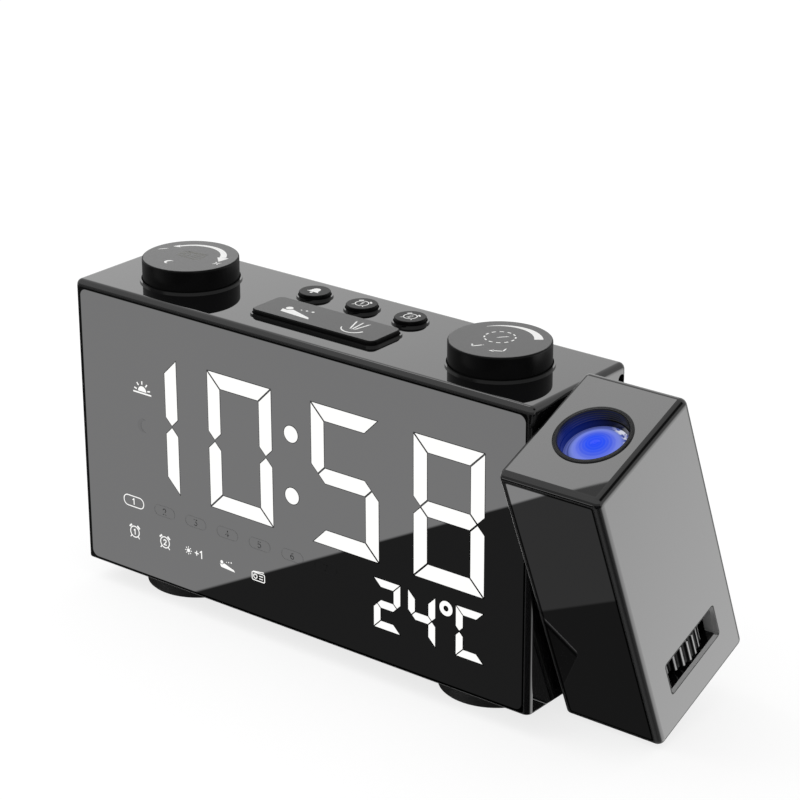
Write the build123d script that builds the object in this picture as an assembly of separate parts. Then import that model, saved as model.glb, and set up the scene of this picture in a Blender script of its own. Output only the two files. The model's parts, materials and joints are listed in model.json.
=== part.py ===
from build123d import *
from math import radians, sin, sqrt
import os

# Projection alarm clock: a slab-shaped clock body with a mirror front that hides a four-digit
# display, two turn-and-press knobs, a snooze bar and three keys on top, two round feet, and a
# projector head on the right end that swivels on a hollow hub.
# Millimetres. +Z is up, -Y is the side with the display, +X runs towards the projector head.
# Origin: on the surface that the feet stand on, midway along the whole clock's length and depth.
# Every piece is drawn with the body's mid depth at y = 0, and all are moved back together at the end.

# ------------------------------------------------------------------ fits shared by many pieces
running_fit = 0.05            # radial, where a shaft turns or slides in a bore
seat_fit = 0.02               # radial, where a piece is pushed home and stays
face_gap = 0.05               # between flat faces that move on each other
stop_gap = 0.1                # left under a plunger at the end of its press
past = 1.0                    # how far a cutting shape runs past the face it opens

# ------------------------------------------------------------------ clock body
body_width = 152.4            # between the two end faces
body_depth = 39.8
body_height = 82.35           # underside to top plate
wall = 2.2                    # top, ends, underside
front_ledge = 1.8             # frame behind the mirror panel
top_edge_radius = 1.7
base_edge_radius = 0.4
end_edge_radius = 1.8         # the four upright edges
inner_corner_radius = 1.2

# ------------------------------------------------------------------ mirror panel
panel_thickness = 1.5
panel_side_margin = 1.7       # from the end face to the panel's edge
panel_top_margin = 1.95
panel_base_margin = 0.55
panel_corner_radius = 0.7
panel_clearance = 0.12        # groove all round the panel

# ------------------------------------------------------------------ feet
foot_radius = 15.05
foot_height = 6.25            # below the body's underside
foot_seat_depth = 0.8         # pocket in the underside
foot_edge = 0.3
foot_inset = 24.65            # foot's centre from the end face

# ------------------------------------------------------------------ knobs
knob_radius = 13.1
knob_height = 6.2             # above the top plate
knob_skirt = 1.3              # below the top plate
knob_wall = 1.5
knob_top_wall = 1.7
knob_top_round = 0.45
knob_inset = 24.5             # knob's centre from the end face
knob_boss_radius = 5.0
knob_press = 0.8              # travel of the press
knob_clearance = 0.3          # knob to its opening, on the radius
collar_width = 0.5            # low rim round every control
collar_height = 0.45

shaft_radius = 3.0
shaft_flat = 0.9              # depth of the D flat
shaft_engagement = 4.4        # length of the shaft inside the knob
shaft_disc_radius = 4.4       # foot of the shaft, inside the encoder
shaft_disc_height = 1.2
shaft_end_gap = 0.3           # shaft's end to the knob's roof
bushing_radius = 4.2
bushing_height = 4.2
encoder_size = 12.4
encoder_height = 7.2
encoder_floor = 1.0
encoder_lid = 1.1
encoder_corner = 0.8
disc_clearance = 0.4
plunger_radius = 2.4
plunger_height = 2.6
plunger_edge = 0.5

# ------------------------------------------------------------------ keys and snooze bar
key_radius = 4.25
key_height = 1.4              # above the top plate
key_pitch = 16.07
key_offset_y = 9.45           # behind mid depth
key_edge = 0.2
control_clearance = 0.25      # key or bar to its opening
flange_width = 1.1            # stop flange under the top plate
flange_thickness = 1.0
stem_radius = 1.6
key_press = 0.5

bar_length = 40.8
bar_depth = 12.4
bar_height = 1.5
bar_offset_y = -5.4
bar_corner_radius = 1.9
bar_edge = 0.3                # chamfer round the bar's top
bar_press = 0.7
bar_stem_spacing = 25.0

switch_size = 6.2
switch_height = 3.6
switch_plunger_radius = 1.7
switch_plunger_height = 3.3
switch_plunger_proud = 1.5    # above the switch at rest
switch_plunger_edge = 0.3
switch_corner = 0.6

# ------------------------------------------------------------------ boards
board_thickness = 1.6
key_board_drop = 14.4         # top plate to the key board's upper face
key_board_margin = 13.7       # from the end face to the board's end
key_board_front = -9.1
key_board_back = 14.0
post_radius = 2.3
stake_radius = 1.1            # melted pin that holds a board
stake_proud = 0.8
stake_clearance = 0.08
key_post_spacing = 68.0
key_post_front = -6.2
key_post_back = 11.2

# ------------------------------------------------------------------ display
reflector_side_margin = 12.5  # from the end face
reflector_base = 7.65         # above the underside
reflector_top_margin = 12.3   # below the top plate
reflector_depth = 7.0
reflector_clearance = 0.15
digit_base = 28.45            # above the underside
digit_top_margin = 15.2       # below the top plate
digit_side_margin = 14.3      # from the end face to the outer digits
digit_gap = 11.3
colon_gap = 13.6              # between the two middle digits
digit_stroke = 4.1
digit_joint = 0.55            # web left between two segment windows
colon_radius = 2.3
colon_spread = 17.3
small_digit_height = 13.9
small_digit_width = 8.6
small_digit_base = 10.05
small_digit_stroke = 2.0
small_digit_joint = 0.4
small_digit_pitch = 11.1
small_digit_inset = 48.7      # left edge of the first one, from the right end face
degree_radius = 1.3
degree_inset = 25.5           # from the right end face
unit_inset = 22.3
word_width = 8.0              # window behind each small word or sign
word_height = 4.4
icon_pitch = 11.4
icon_inset = 15.0             # from the left end face
icon_base = 10.55
day_base = 19.85
meridiem_drop = 28.2          # below the top plate
meridiem_inset = 5.4          # right of the row of signs
icon_count = 5
chip_size = 1.8
chip_height = 0.7
chip_rows = (0.27, 0.73)      # up the digit, as shares of its height
digit_board_margin = 10.7     # from the end face
digit_board_base = 2.9
digit_board_top_margin = 6.1  # below the top plate
digit_post_inset = 34.2       # from the end face
digit_post_margin = 1.9       # from the board's edge

# ------------------------------------------------------------------ back cover
cover_thickness = 2.2
cover_clearance = 0.15
screw_inset = 5.9             # from the end face
screw_base = 7.2              # above the underside
screw_top = 8.4               # below the top plate
screw_post_radius = 3.1
screw_pilot_radius = 1.0
screw_shank_radius = 1.0
screw_hole_radius = 1.5
screw_head_radius = 2.5
screw_head_height = 1.5
screw_counterbore_radius = 2.9
screw_length = 8.0
screw_cross = 2.6
screw_cross_width = 0.7
screw_cross_depth = 0.9
screw_crown = 0.8             # rise of the head's domed top
screw_tip = 0.8

speaker_radius = 19.5
speaker_inset = 38.2          # from the left end face
speaker_z = 34.6              # above the underside
speaker_rim = 1.2
speaker_depth = 9.0
magnet_radius = 11.0
magnet_height = 5.0
cone_radius = 16.8
cone_depth = 5.5
cone_thickness = 0.6
dust_cap_radius = 5.0
dust_cap_rise = 1.4
cone_edge = 0.4               # cone to the basket's rim, on the radius
basket_floor = 1.2
speaker_clearance = 0.3
locating_ring = 1.2
locating_ring_height = 2.2
grille_radius = 15.0
grille_hole_radius = 1.15
grille_pitch = 4.4

main_board_width = 62.0
main_board_height = 50.0
main_board_inset = 52.2       # board's middle from the right end face
main_board_rise = 6.0         # board's lower edge above the underside
main_board_gap = 11.4         # back cover to board
main_post_inset = 3.6

jack_width = 9.0
jack_height = 11.0
jack_bore_radius = 2.9
jack_bore_depth = 9.0
jack_pin_radius = 1.0
jack_collar_radius = 4.0
jack_inset = 12.0             # from the main board's right edge
port_rise = 9.0               # both ports above the main board's lower edge
usb_width = 14.6
usb_height = 7.2
usb_shell = 0.4
usb_tongue = 1.9
usb_tongue_width = 10.6
usb_back_wall = 2.0
port_clearance = 0.2          # round the two ports, in the cover
port_recess = 0.4             # port's mouth below the cover's face
pin_recess = 1.2              # pin or tongue inside its mouth
usb_inset = 28.0              # from the main board's right edge

cell_radius = 10.0
cell_height = 3.2
cell_clearance = 0.4
cell_well_wall = 1.2
cell_well_size = 24.0
cell_edge = 0.6
cell_end_gap = 0.8            # between the cell and the door
cell_inset = 68.2             # from the right end face
cell_z = 38.5
contact_thickness = 0.4
contact_width = 4.0
door_size = 26.0
door_thickness = 1.4
door_clearance = 0.2
door_notch_radius = 4.0
door_notch_depth = 0.7
door_corner_radius = 0.8

# ------------------------------------------------------------------ swivel
swivel_gap = 1.2              # body's end face to the head
swivel_drop = 5.2             # swivel axis below the body's middle, so that the head hangs flush with it
hub_radius = 7.0
hub_bore_radius = 4.5
hub_flange_radius = 10.5
hub_flange_thickness = 1.6
sleeve_radius = 10.5          # bearing sleeve inside the body's end wall
sleeve_length = 4.6
washer_thickness = 0.6
retainer_radius = 10.0
retainer_thickness = 2.4
retainer_flat = 1.1           # depth of the two spanner flats
washer_clearance = 0.3        # to the hub, on the radius

# ------------------------------------------------------------------ projector head
head_width = 28.6
head_extra = 0.65             # taller than the body
head_rise = 4.8               # head's middle above the swivel axis, so that it swings clear of the table
head_tilt = 22.0              # top leans towards the display side
head_wall = 2.0
head_edge_radius = 2.0
head_inner_edge_radius = 1.1  # edges of the side that faces the body
head_cover_thickness = 2.0
head_cover_clearance = 0.12
head_cover_lip = 1.0

head_panel_thickness = 1.2
head_panel_left_margin = 1.5
head_panel_right_margin = 2.1
head_panel_end_margin = 2.1
head_panel_ledge = 1.6

lens_opening_radius = 9.3
lens_ring_radius = 9.9
lens_ring_proud = 0.35
lens_ring_inner = 8.65
lens_ring_neck = 9.2
lens_ring_bevel = 0.25
lens_ring_length = 3.0
barrel_radius = 9.0
barrel_bore = 8.35
ring_groove = 0.25            # stray-light grooves inside the ring
ring_groove_pitch = 0.7
ring_groove_count = 4
barrel_length = 17.0
barrel_flange = 15.2
barrel_flange_width = 20.0
barrel_flange_thickness = 2.4
lens_radius = 8.2
lens_drop = 4.6               # head's top face to the lens rim
lens_rim = 1.6
lens_dome = 2.3
lens_back_dome = 1.2
lens_land = 0.6               # flat rim left round the front dome
lens_seat_width = 1.2         # shoulder in the barrel that the lens sits on
lens_back_land = 1.6

slot_length = 20.8
slot_height = 8.6
slot_centre = 16.2            # above the head's lower end
slot_chamfer = 0.7
slot_collar = 3.6             # depth of the slot's walls
slot_collar_wall = 1.3
wheel_radius = 10.6
wheel_offset = 3.55           # right of the lens axis
wheel_height = 6.4
wheel_base = 13.7             # above the head's lower end
wheel_flutes = 28
flute_radius = 0.75
flute_out = 0.2               # flute's centre outside the rim
axle_radius = 1.5
axle_boss_radius = 3.2
axle_end_gap = 0.3
spindle_radius = 2.6
spindle_end_gap = 0.6         # to the nut's roof, with the carriage at its lowest
focus_lead = 6.0              # carriage travel per turn
focus_turn = 150.0            # degrees each way

rod_radius = 1.2
rod_offset = 13.0             # from the lens axis, front and back
rod_boss_radius = 2.6
rod_boss_height = 6.0
rod_floor = 1.0               # left under the rods' lower ends
rod_cap = 0.6                 # left above their upper ends
carriage_radius = 8.2
carriage_base = 32.0          # above the head's lower end
carriage_length = 21.0
carriage_floor = 2.0
carriage_ear = 3.0            # height and half width of an ear on a guide rod
ear_overhang = 1.4            # beyond the rod's hole
ear_root = 7.5                # inside the tube's wall
nut_radius = 4.6
nut_length = 7.6
nut_roof = 1.0                # left of the floor above the nut's bore
emitter_size = 8.0
emitter_height = 1.2
emitter_dome_radius = 2.2
emitter_dome = 1.6
emitter_well_radius = 5.9
condenser_radius = 6.85
condenser_edge = 0.9          # height of its cylindrical rim
condenser_height = 3.4
condenser_seat = 6.4          # above the carriage's floor
mask_size = 10.2              # glass plate that carries the projected figures
mask_glass = 0.55             # thickness of each of its two glasses
mask_ledge = 1.6              # lower glass beyond the upper one
mouth_radius = 7.45           # wider bore at the carriage's mouth
mouth_depth = 4.0

sensor_hole_radius = 1.3      # small round hole in the right end face
sensor_hole_back = 2.5        # from the back face
sensor_hole_top = 3.9         # from the top plate

# ------------------------------------------------------------------ where things lie
head_depth = body_depth
head_height = body_height + head_extra
total_width = body_width + swivel_gap + head_width
body_left = -total_width / 2
body_right = body_left + body_width
body_middle = (body_left + body_right) / 2
head_left = body_right + swivel_gap
head_right = total_width / 2
head_middle = (head_left + head_right) / 2
body_front = -body_depth / 2
body_back = body_depth / 2
body_base = foot_height
body_top = foot_height + body_height
body_centre = foot_height + body_height / 2
swivel_height = body_centre - swivel_drop
panel_back = body_front + panel_thickness
ledge_back = panel_back + front_ledge
cover_inner = body_back - cover_thickness
ceiling = body_top - wall                     # underside of the top plate
key_board_top = body_top - key_board_drop
reflector_back = panel_back + reflector_depth
display_width = body_width - 2 * digit_side_margin
digit_width = (display_width - 2 * digit_gap - colon_gap) / 4
digit_height = body_height - digit_base - digit_top_margin
reflector_width = body_width - 2 * reflector_side_margin
digit_board_width = body_width - 2 * digit_board_margin
digit_board_top = body_height - digit_board_top_margin
key_board_width = body_width - 2 * key_board_margin
main_board_middle = body_right - main_board_inset
main_board_right = main_board_middle + main_board_width / 2
main_board_base = body_base + main_board_rise
main_board_back = cover_inner - main_board_gap
main_board_front = main_board_back - board_thickness
wheel_middle = head_middle + wheel_offset
head_bottom = head_rise - head_height / 2     # in the upright head, above the swivel axis
head_top = head_rise + head_height / 2
depth_shift = head_rise * sin(radians(head_tilt))     # from the body's mid depth to the whole clock's


# ------------------------------------------------------------------ small helpers
def block(x0, x1, y0, y1, z0, z1):
    """Box between two values on each axis."""
    return Pos((x0 + x1) / 2, (y0 + y1) / 2, (z0 + z1) / 2) * Box(x1 - x0, y1 - y0, z1 - z0)


def rod_x(radius, x0, x1, y, z):
    return Pos((x0 + x1) / 2, y, z) * Rot(0, 90, 0) * Cylinder(radius, x1 - x0)


def rod_y(radius, y0, y1, x, z):
    return Pos(x, (y0 + y1) / 2, z) * Rot(90, 0, 0) * Cylinder(radius, y1 - y0)


def rod_z(radius, z0, z1, x, y):
    return Pos(x, y, (z0 + z1) / 2) * Cylinder(radius, z1 - z0)


def turned(points, x, y, z):
    """Revolve a closed (radius, height) outline about a vertical axis at x, y; heights from z."""
    face = make_face(Plane.XZ * Polyline(*points, close=True))
    return Pos(x, y, z) * revolve(face, Axis.Z, 360)


def turned_y(points, x, z, y):
    """Revolve a closed (radius, depth) outline about an axis along Y; depth runs from y towards -Y."""
    face = make_face(Plane.XZ * Polyline(*points, close=True))
    return Pos(x, y, z) * Rot(90, 0, 0) * revolve(face, Axis.Z, 360)


def plate_y(sketch, y0, y1, x, z):
    """Extrude a sketch drawn in X and Z from y0 to y1."""
    return extrude(Plane(origin=(x, y0, z), x_dir=(1, 0, 0), z_dir=(0, -1, 0)) * sketch, -(y1 - y0))


def prism_z(sketch, z0, z1, x=0, y=0):
    return Pos(x, y, z0) * extrude(sketch, z1 - z0)


def square_z(size, z0, z1, x, y):
    """Square plate or hole, centred on x, y."""
    return block(x - size / 2, x + size / 2, y - size / 2, y + size / 2, z0, z1)


def in_head(shape):
    """Turn a shape drawn in the upright head, with the swivel axis at height 0, to the resting tilt."""
    return Pos(0, 0, swivel_height) * Rot(head_tilt, 0, 0) * shape


# ------------------------------------------------------------------ display windows
def segment(length, stroke, joint):
    """A bar with mitred ends, lying along local X."""
    half = (length - joint * sqrt(2)) / 2
    s = stroke / 2
    return make_face(Polyline((-half, 0), (-half + s, s), (half - s, s), (half, 0),
                              (half - s, -s), (-half + s, -s), close=True))


def seven_segments(width, height, stroke, joint, lit):
    """Segment windows of one digit, with its lower left corner at the origin."""
    span = width - stroke
    rise = (height - stroke) / 2
    left, right = stroke / 2, width - stroke / 2
    low, mid, high = stroke / 2, height / 2, height - stroke / 2
    places = {"a": (width / 2, high, 0), "g": (width / 2, mid, 0), "d": (width / 2, low, 0),
              "f": (left, (mid + high) / 2, 90), "b": (right, (mid + high) / 2, 90),
              "e": (left, (low + mid) / 2, 90), "c": (right, (low + mid) / 2, 90)}
    windows = []
    for name in lit:
        x, y, turn = places[name]
        length = span if turn == 0 else rise
        windows.append(Pos(x, y) * Rot(0, 0, turn) * segment(length, stroke, joint))
    return windows


def digit_lefts():
    """Left edges of the four large digits, from the display's centre."""
    pitch = digit_width + digit_gap
    return [-display_width / 2, pitch - display_width / 2, colon_gap / 2, colon_gap / 2 + pitch]


def display_windows():
    """Every window of the reflector, in X from the display's centre and Z from the underside."""
    windows = []
    for left in digit_lefts():
        for shape in seven_segments(digit_width, digit_height, digit_stroke, digit_joint, "abcdefg"):
            windows.append(Pos(left, digit_base) * shape)
    for side in (-1, 1):
        windows.append(Pos(0, digit_base + digit_height / 2 + side * colon_spread / 2) * Circle(colon_radius))
    for place in (0, 1):
        left = body_width / 2 - small_digit_inset + place * small_digit_pitch
        for shape in seven_segments(small_digit_width, small_digit_height, small_digit_stroke,
                                    small_digit_joint, "abcdefg"):
            windows.append(Pos(left, small_digit_base) * shape)
    for shape in seven_segments(small_digit_width, small_digit_height, small_digit_stroke,
                                small_digit_joint, "adef"):
        windows.append(Pos(body_width / 2 - unit_inset, small_digit_base) * shape)
    windows.append(Pos(body_width / 2 - degree_inset, small_digit_base + small_digit_height - degree_radius)
                   * Circle(degree_radius))
    icon_left = icon_inset - body_width / 2
    small_windows = [(icon_left + place * icon_pitch, icon_base) for place in range(icon_count)]
    small_windows += [(icon_left, day_base), (icon_left + meridiem_inset, body_height - meridiem_drop)]
    for left, base in small_windows:
        windows.append(Pos(left + word_width / 2, base + word_height / 2)
                       * Rectangle(word_width, word_height))
    return windows


# ------------------------------------------------------------------ body: housing
def knob_centres():
    return [(body_left + knob_inset, 0), (body_right - knob_inset, 0)]


def key_centres():
    return [(body_middle + place * key_pitch, key_offset_y) for place in (-1, 0, 1)]


def bar_stems():
    return [(body_middle + side * bar_stem_spacing / 2, bar_offset_y) for side in (-1, 1)]


def foot_centres():
    return [(body_left + foot_inset, 0), (body_right - foot_inset, 0)]


def screw_centres():
    return [(x, z) for z in (body_base + screw_base, body_top - screw_top)
            for x in (body_left + screw_inset, body_right - screw_inset)]


def key_posts():
    return [(body_middle + side * key_post_spacing / 2, y)
            for y in (key_post_front, key_post_back) for side in (-1, 1)]


def digit_posts():
    return [(x, z) for z in (body_base + digit_board_base + digit_post_margin,
                             body_base + digit_board_top - digit_post_margin)
            for x in (body_left + digit_post_inset, body_right - digit_post_inset)]


def main_posts():
    x = main_board_width / 2 - main_post_inset
    z = main_board_height / 2 - main_post_inset
    return [(main_board_middle + sx * x, main_board_base + main_board_height / 2 + sz * z)
            for sx in (-1, 1) for sz in (-1, 1)]


def outer_body():
    """Slab with round upright edges, a large round along the top and a small one along the base."""
    outline = RectangleRounded(body_width, body_depth, end_edge_radius)
    slab = prism_z(outline, body_base, body_top, body_middle)
    slab = fillet(slab.edges().group_by(Axis.Z)[-1], top_edge_radius)
    return fillet(slab.edges().group_by(Axis.Z)[0], base_edge_radius)


panel_width = body_width - 2 * panel_side_margin
panel_height = body_height - panel_top_margin - panel_base_margin
panel_centre = body_base + panel_base_margin + panel_height / 2
cavity_width = body_width - 2 * wall
cavity_height = body_height - 2 * wall
reflector_height = body_height - reflector_top_margin - reflector_base
reflector_centre = body_base + reflector_base + reflector_height / 2

housing = outer_body()
housing -= plate_y(RectangleRounded(cavity_width, cavity_height, inner_corner_radius),
                   ledge_back, body_back + past, body_middle, body_centre)
housing -= plate_y(RectangleRounded(panel_width + 2 * panel_clearance, panel_height + 2 * panel_clearance,
                                    panel_corner_radius + panel_clearance),
                   body_front - past, panel_back, body_middle, panel_centre)
housing -= plate_y(Rectangle(reflector_width + 2 * reflector_clearance,
                             reflector_height + 2 * reflector_clearance),
                   panel_back - past, ledge_back + past, body_middle, reflector_centre)

# low collars and openings for the controls
bar_outline = RectangleRounded(bar_length, bar_depth, bar_corner_radius)
for x, y in knob_centres():
    housing += rod_z(knob_radius + knob_clearance + collar_width, ceiling, body_top + collar_height, x, y)
for x, y in key_centres():
    housing += rod_z(key_radius + control_clearance + collar_width, ceiling, body_top + collar_height, x, y)
housing += prism_z(offset(bar_outline, control_clearance + collar_width), ceiling, body_top + collar_height,
                   body_middle, bar_offset_y)
for x, y in knob_centres():
    housing -= rod_z(knob_radius + knob_clearance, ceiling - past, body_top + past, x, y)
for x, y in key_centres():
    housing -= rod_z(key_radius + control_clearance, ceiling - past, body_top + past, x, y)
housing -= prism_z(offset(bar_outline, control_clearance), ceiling - past, body_top + past,
                   body_middle, bar_offset_y)

# posts for the key board hang from the top plate, posts for the digit board stand on the ledge
for x, y in key_posts():
    housing += rod_z(post_radius, key_board_top, ceiling, x, y)
    housing += rod_z(stake_radius, key_board_top - board_thickness - stake_proud, key_board_top, x, y)
for x, z in digit_posts():
    housing += rod_y(post_radius, ledge_back, reflector_back, x, z)
    housing += rod_y(stake_radius, reflector_back, reflector_back + board_thickness + stake_proud, x, z)

# screw posts for the back cover
for x, z in screw_centres():
    housing += rod_y(screw_post_radius, ledge_back, cover_inner, x, z)
    housing -= rod_y(screw_pilot_radius, cover_inner - screw_length, cover_inner + past, x, z)

# bearing sleeve of the swivel in the right end wall, and the small hole near its upper back corner
housing += rod_x(sleeve_radius, body_right - wall - sleeve_length, body_right - wall, 0, swivel_height)
housing -= rod_x(hub_radius + running_fit, body_right - wall - sleeve_length - past, body_right + past,
                 0, swivel_height)
housing -= rod_x(sensor_hole_radius, body_right - wall - past, body_right + past,
                 body_back - sensor_hole_back, body_top - sensor_hole_top)

# pockets that locate the feet
for x, y in foot_centres():
    housing -= rod_z(foot_radius + running_fit, body_base - past, body_base + foot_seat_depth, x, y)


# ------------------------------------------------------------------ body: front and display
mirror_panel = plate_y(RectangleRounded(panel_width, panel_height, panel_corner_radius),
                       body_front, panel_back, body_middle, panel_centre)

digit_reflector = plate_y(Rectangle(reflector_width, reflector_height), panel_back, reflector_back,
                          body_middle, reflector_centre)
cuts = [plate_y(shape, panel_back - past, reflector_back + past, body_middle, body_base)
        for shape in display_windows()]
digit_reflector = digit_reflector.cut(*cuts)

digit_board = block(body_middle - digit_board_width / 2, body_middle + digit_board_width / 2,
                    reflector_back, reflector_back + board_thickness,
                    body_base + digit_board_base, body_base + digit_board_top)
for x, z in digit_posts():
    digit_board -= rod_y(stake_radius + stake_clearance, reflector_back - past,
                         reflector_back + board_thickness + past, x, z)
for left in digit_lefts():
    for column in (digit_stroke / 2, digit_width - digit_stroke / 2):
        for row in chip_rows:
            x = body_middle + left + column
            z = body_base + digit_base + row * digit_height
            digit_board += plate_y(Rectangle(chip_size, chip_size), reflector_back - chip_height,
                                   reflector_back, x, z)

# ------------------------------------------------------------------ body: feet
feet = []
for x, y in foot_centres():
    foot = rod_z(foot_radius, 0, body_base + foot_seat_depth, x, y)
    feet.append(chamfer(foot.edges().group_by(Axis.Z)[0], foot_edge))

# ------------------------------------------------------------------ top controls
knob_top = body_top + knob_height
knob_base = body_top - knob_skirt
shaft_top = knob_top - knob_top_wall - shaft_end_gap
encoder_top = key_board_top + encoder_height
bushing_top = encoder_top + bushing_height
disc_base = key_board_top + encoder_floor + stop_gap + knob_press + plunger_height + face_gap


def d_section(radius, flat):
    return Circle(radius) & Pos(-flat, 0) * Rectangle(2 * radius, 2 * radius)


def knob(x, y):
    """Cup-shaped cap with a central boss that takes the shaft's D end."""
    cap = rod_z(knob_radius, knob_base, knob_top, x, y)
    cap = fillet(cap.edges().group_by(Axis.Z)[-1], knob_top_round)
    cap -= rod_z(knob_radius - knob_wall, knob_base - past, knob_top - knob_top_wall, x, y)
    cap += rod_z(knob_boss_radius, shaft_top - shaft_engagement, knob_top - knob_top_wall, x, y)
    return cap - prism_z(offset(d_section(shaft_radius, shaft_flat), seat_fit),
                         shaft_top - shaft_engagement - past, shaft_top, x, y)


def knob_shaft(x, y):
    """Plain shaft with a D end above and a disc inside the encoder below."""
    stem = rod_z(shaft_radius, disc_base, shaft_top - shaft_engagement, x, y)
    stem += prism_z(d_section(shaft_radius, shaft_flat), shaft_top - shaft_engagement, shaft_top, x, y)
    return stem + rod_z(shaft_disc_radius, disc_base, disc_base + shaft_disc_height, x, y)


def encoder(x, y):
    """Square can on the key board with a round bushing; hollow for the shaft's disc and plunger."""
    can = prism_z(RectangleRounded(encoder_size, encoder_size, encoder_corner), key_board_top, encoder_top,
                  x, y)
    can += rod_z(bushing_radius, encoder_top, bushing_top, x, y)
    can -= rod_z(shaft_disc_radius + disc_clearance, disc_base - knob_press - disc_clearance,
                 encoder_top - encoder_lid, x, y)
    can -= rod_z(plunger_radius + running_fit, key_board_top + encoder_floor, disc_base, x, y)
    return can - rod_z(shaft_radius + running_fit, encoder_top - encoder_lid - past, bushing_top + past, x, y)


def encoder_plunger(x, y):
    top = disc_base - face_gap
    return turned([(0, 0), (plunger_radius, 0), (plunger_radius, plunger_height - plunger_edge),
                   (plunger_radius - plunger_edge, plunger_height), (0, plunger_height)],
                  x, y, top - plunger_height)


switch_top = key_board_top + switch_height
stem_base = switch_top + switch_plunger_proud + face_gap
flange_base = ceiling - flange_thickness


def key(x, y):
    """Round key cap with a stop flange under the top plate and a stem down to its switch."""
    top = body_top + key_height
    flange_radius = key_radius + flange_width
    return turned([(0, stem_base), (stem_radius, stem_base), (stem_radius, flange_base),
                   (flange_radius, flange_base), (flange_radius, ceiling), (key_radius, ceiling),
                   (key_radius, top - key_edge), (key_radius - key_edge, top), (0, top)], x, y, 0)


def tact_switch(x, y, travel):
    body = square_z(switch_size, key_board_top, switch_top, x, y)
    body = chamfer(body.edges().filter_by(Axis.Z), switch_corner)
    floor = switch_top + switch_plunger_proud - switch_plunger_height - travel - stop_gap
    return body - rod_z(switch_plunger_radius + running_fit, floor, switch_top + past, x, y)


def switch_plunger(x, y):
    top = switch_top + switch_plunger_proud
    shoulder = switch_plunger_height - switch_plunger_edge
    return turned([(0, 0), (switch_plunger_radius, 0), (switch_plunger_radius, shoulder),
                   (switch_plunger_radius - switch_plunger_edge, switch_plunger_height),
                   (0, switch_plunger_height)], x, y, top - switch_plunger_height)


snooze_bar = prism_z(bar_outline, flange_base, body_top + bar_height, body_middle, bar_offset_y)
snooze_bar = chamfer(snooze_bar.edges().group_by(Axis.Z)[-1], bar_edge)
snooze_bar += prism_z(offset(bar_outline, flange_width), flange_base, ceiling, body_middle, bar_offset_y)
for x, y in bar_stems():
    snooze_bar += rod_z(stem_radius, stem_base, flange_base, x, y)

key_board = block(body_middle - key_board_width / 2, body_middle + key_board_width / 2,
                  key_board_front, key_board_back, key_board_top - board_thickness, key_board_top)
for x, y in key_posts():
    key_board -= rod_z(stake_radius + stake_clearance, key_board_top - board_thickness - past,
                       key_board_top + past, x, y)

# ------------------------------------------------------------------ body: back cover and what it carries
speaker_at = (body_left + speaker_inset, body_base + speaker_z)
cell_at = (body_right - cell_inset, body_base + cell_z)
jack_at = (main_board_right - jack_inset, main_board_base + port_rise)
usb_at = (main_board_right - usb_inset, main_board_base + port_rise)
door_inner = body_back - door_thickness
well_floor = door_inner - cell_end_gap - cell_height - contact_thickness
well_front = well_floor - cell_well_wall


def grille_points():
    """Hexagonal pattern of holes inside the grille's circle."""
    row_pitch = grille_pitch * sqrt(3) / 2
    reach = int(grille_radius / row_pitch) + 1
    points = []
    for row in range(-reach, reach + 1):
        for column in range(-reach, reach + 1):
            x = (column + (row % 2) / 2) * grille_pitch
            z = row * row_pitch
            if sqrt(x * x + z * z) <= grille_radius:
                points.append((x, z))
    return points


back_cover = plate_y(RectangleRounded(cavity_width - 2 * cover_clearance, cavity_height - 2 * cover_clearance,
                                      inner_corner_radius - cover_clearance),
                     cover_inner, body_back, body_middle, body_centre)
ring_bore = speaker_radius + speaker_clearance
ring_front = cover_inner - locating_ring_height
back_cover += rod_y(ring_bore + locating_ring, ring_front, cover_inner, *speaker_at)
back_cover -= rod_y(ring_bore, ring_front - past, cover_inner, *speaker_at)
holes = [rod_y(grille_hole_radius, cover_inner - past, body_back + past, speaker_at[0] + x, speaker_at[1] + z)
         for x, z in grille_points()]
back_cover = back_cover.cut(*holes)
for x, z in screw_centres():
    back_cover -= rod_y(screw_hole_radius, cover_inner - past, body_back + past, x, z)
    back_cover -= rod_y(screw_counterbore_radius, body_back - screw_head_height, body_back + past, x, z)
for x, z in main_posts():
    back_cover += rod_y(post_radius, main_board_back, cover_inner, x, z)
    back_cover += rod_y(stake_radius, main_board_front - stake_proud, main_board_back, x, z)
back_cover -= rod_y(jack_collar_radius + port_clearance, cover_inner - past, body_back + past, *jack_at)
back_cover -= plate_y(Rectangle(usb_width + 2 * port_clearance, usb_height + 2 * port_clearance),
                      cover_inner - past, body_back + past, *usb_at)
back_cover += plate_y(Rectangle(cell_well_size + 2 * cell_well_wall, cell_well_size + 2 * cell_well_wall),
                      well_front, cover_inner, *cell_at)
back_cover -= plate_y(Rectangle(cell_well_size, cell_well_size), well_floor, body_back + past, *cell_at)
back_cover -= plate_y(RectangleRounded(door_size + 2 * door_clearance, door_size + 2 * door_clearance,
                                       door_corner_radius + door_clearance),
                      door_inner, body_back + past, *cell_at)

battery_door = plate_y(RectangleRounded(door_size, door_size, door_corner_radius), door_inner, body_back,
                       *cell_at)
battery_door -= plate_y(Pos(0, -door_size / 2) * Circle(door_notch_radius), body_back - door_notch_depth,
                        body_back + past, *cell_at)

cell_back = well_floor + contact_thickness + cell_height
coin_cell = rod_y(cell_radius, cell_back - cell_height, cell_back, *cell_at)
coin_cell = chamfer(coin_cell.edges().group_by(Axis.Y)[0], cell_edge)
cell_contact = block(cell_at[0] - contact_width / 2, cell_at[0] + contact_width / 2, well_floor,
                     well_floor + contact_thickness, cell_at[1] - cell_radius, cell_at[1] + cell_radius)
side_contact = block(cell_at[0] - contact_width / 2, cell_at[0] + contact_width / 2, well_floor, cell_back,
                     cell_at[1] + cell_radius + cell_clearance, cell_at[1] + cell_well_size / 2)

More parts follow.
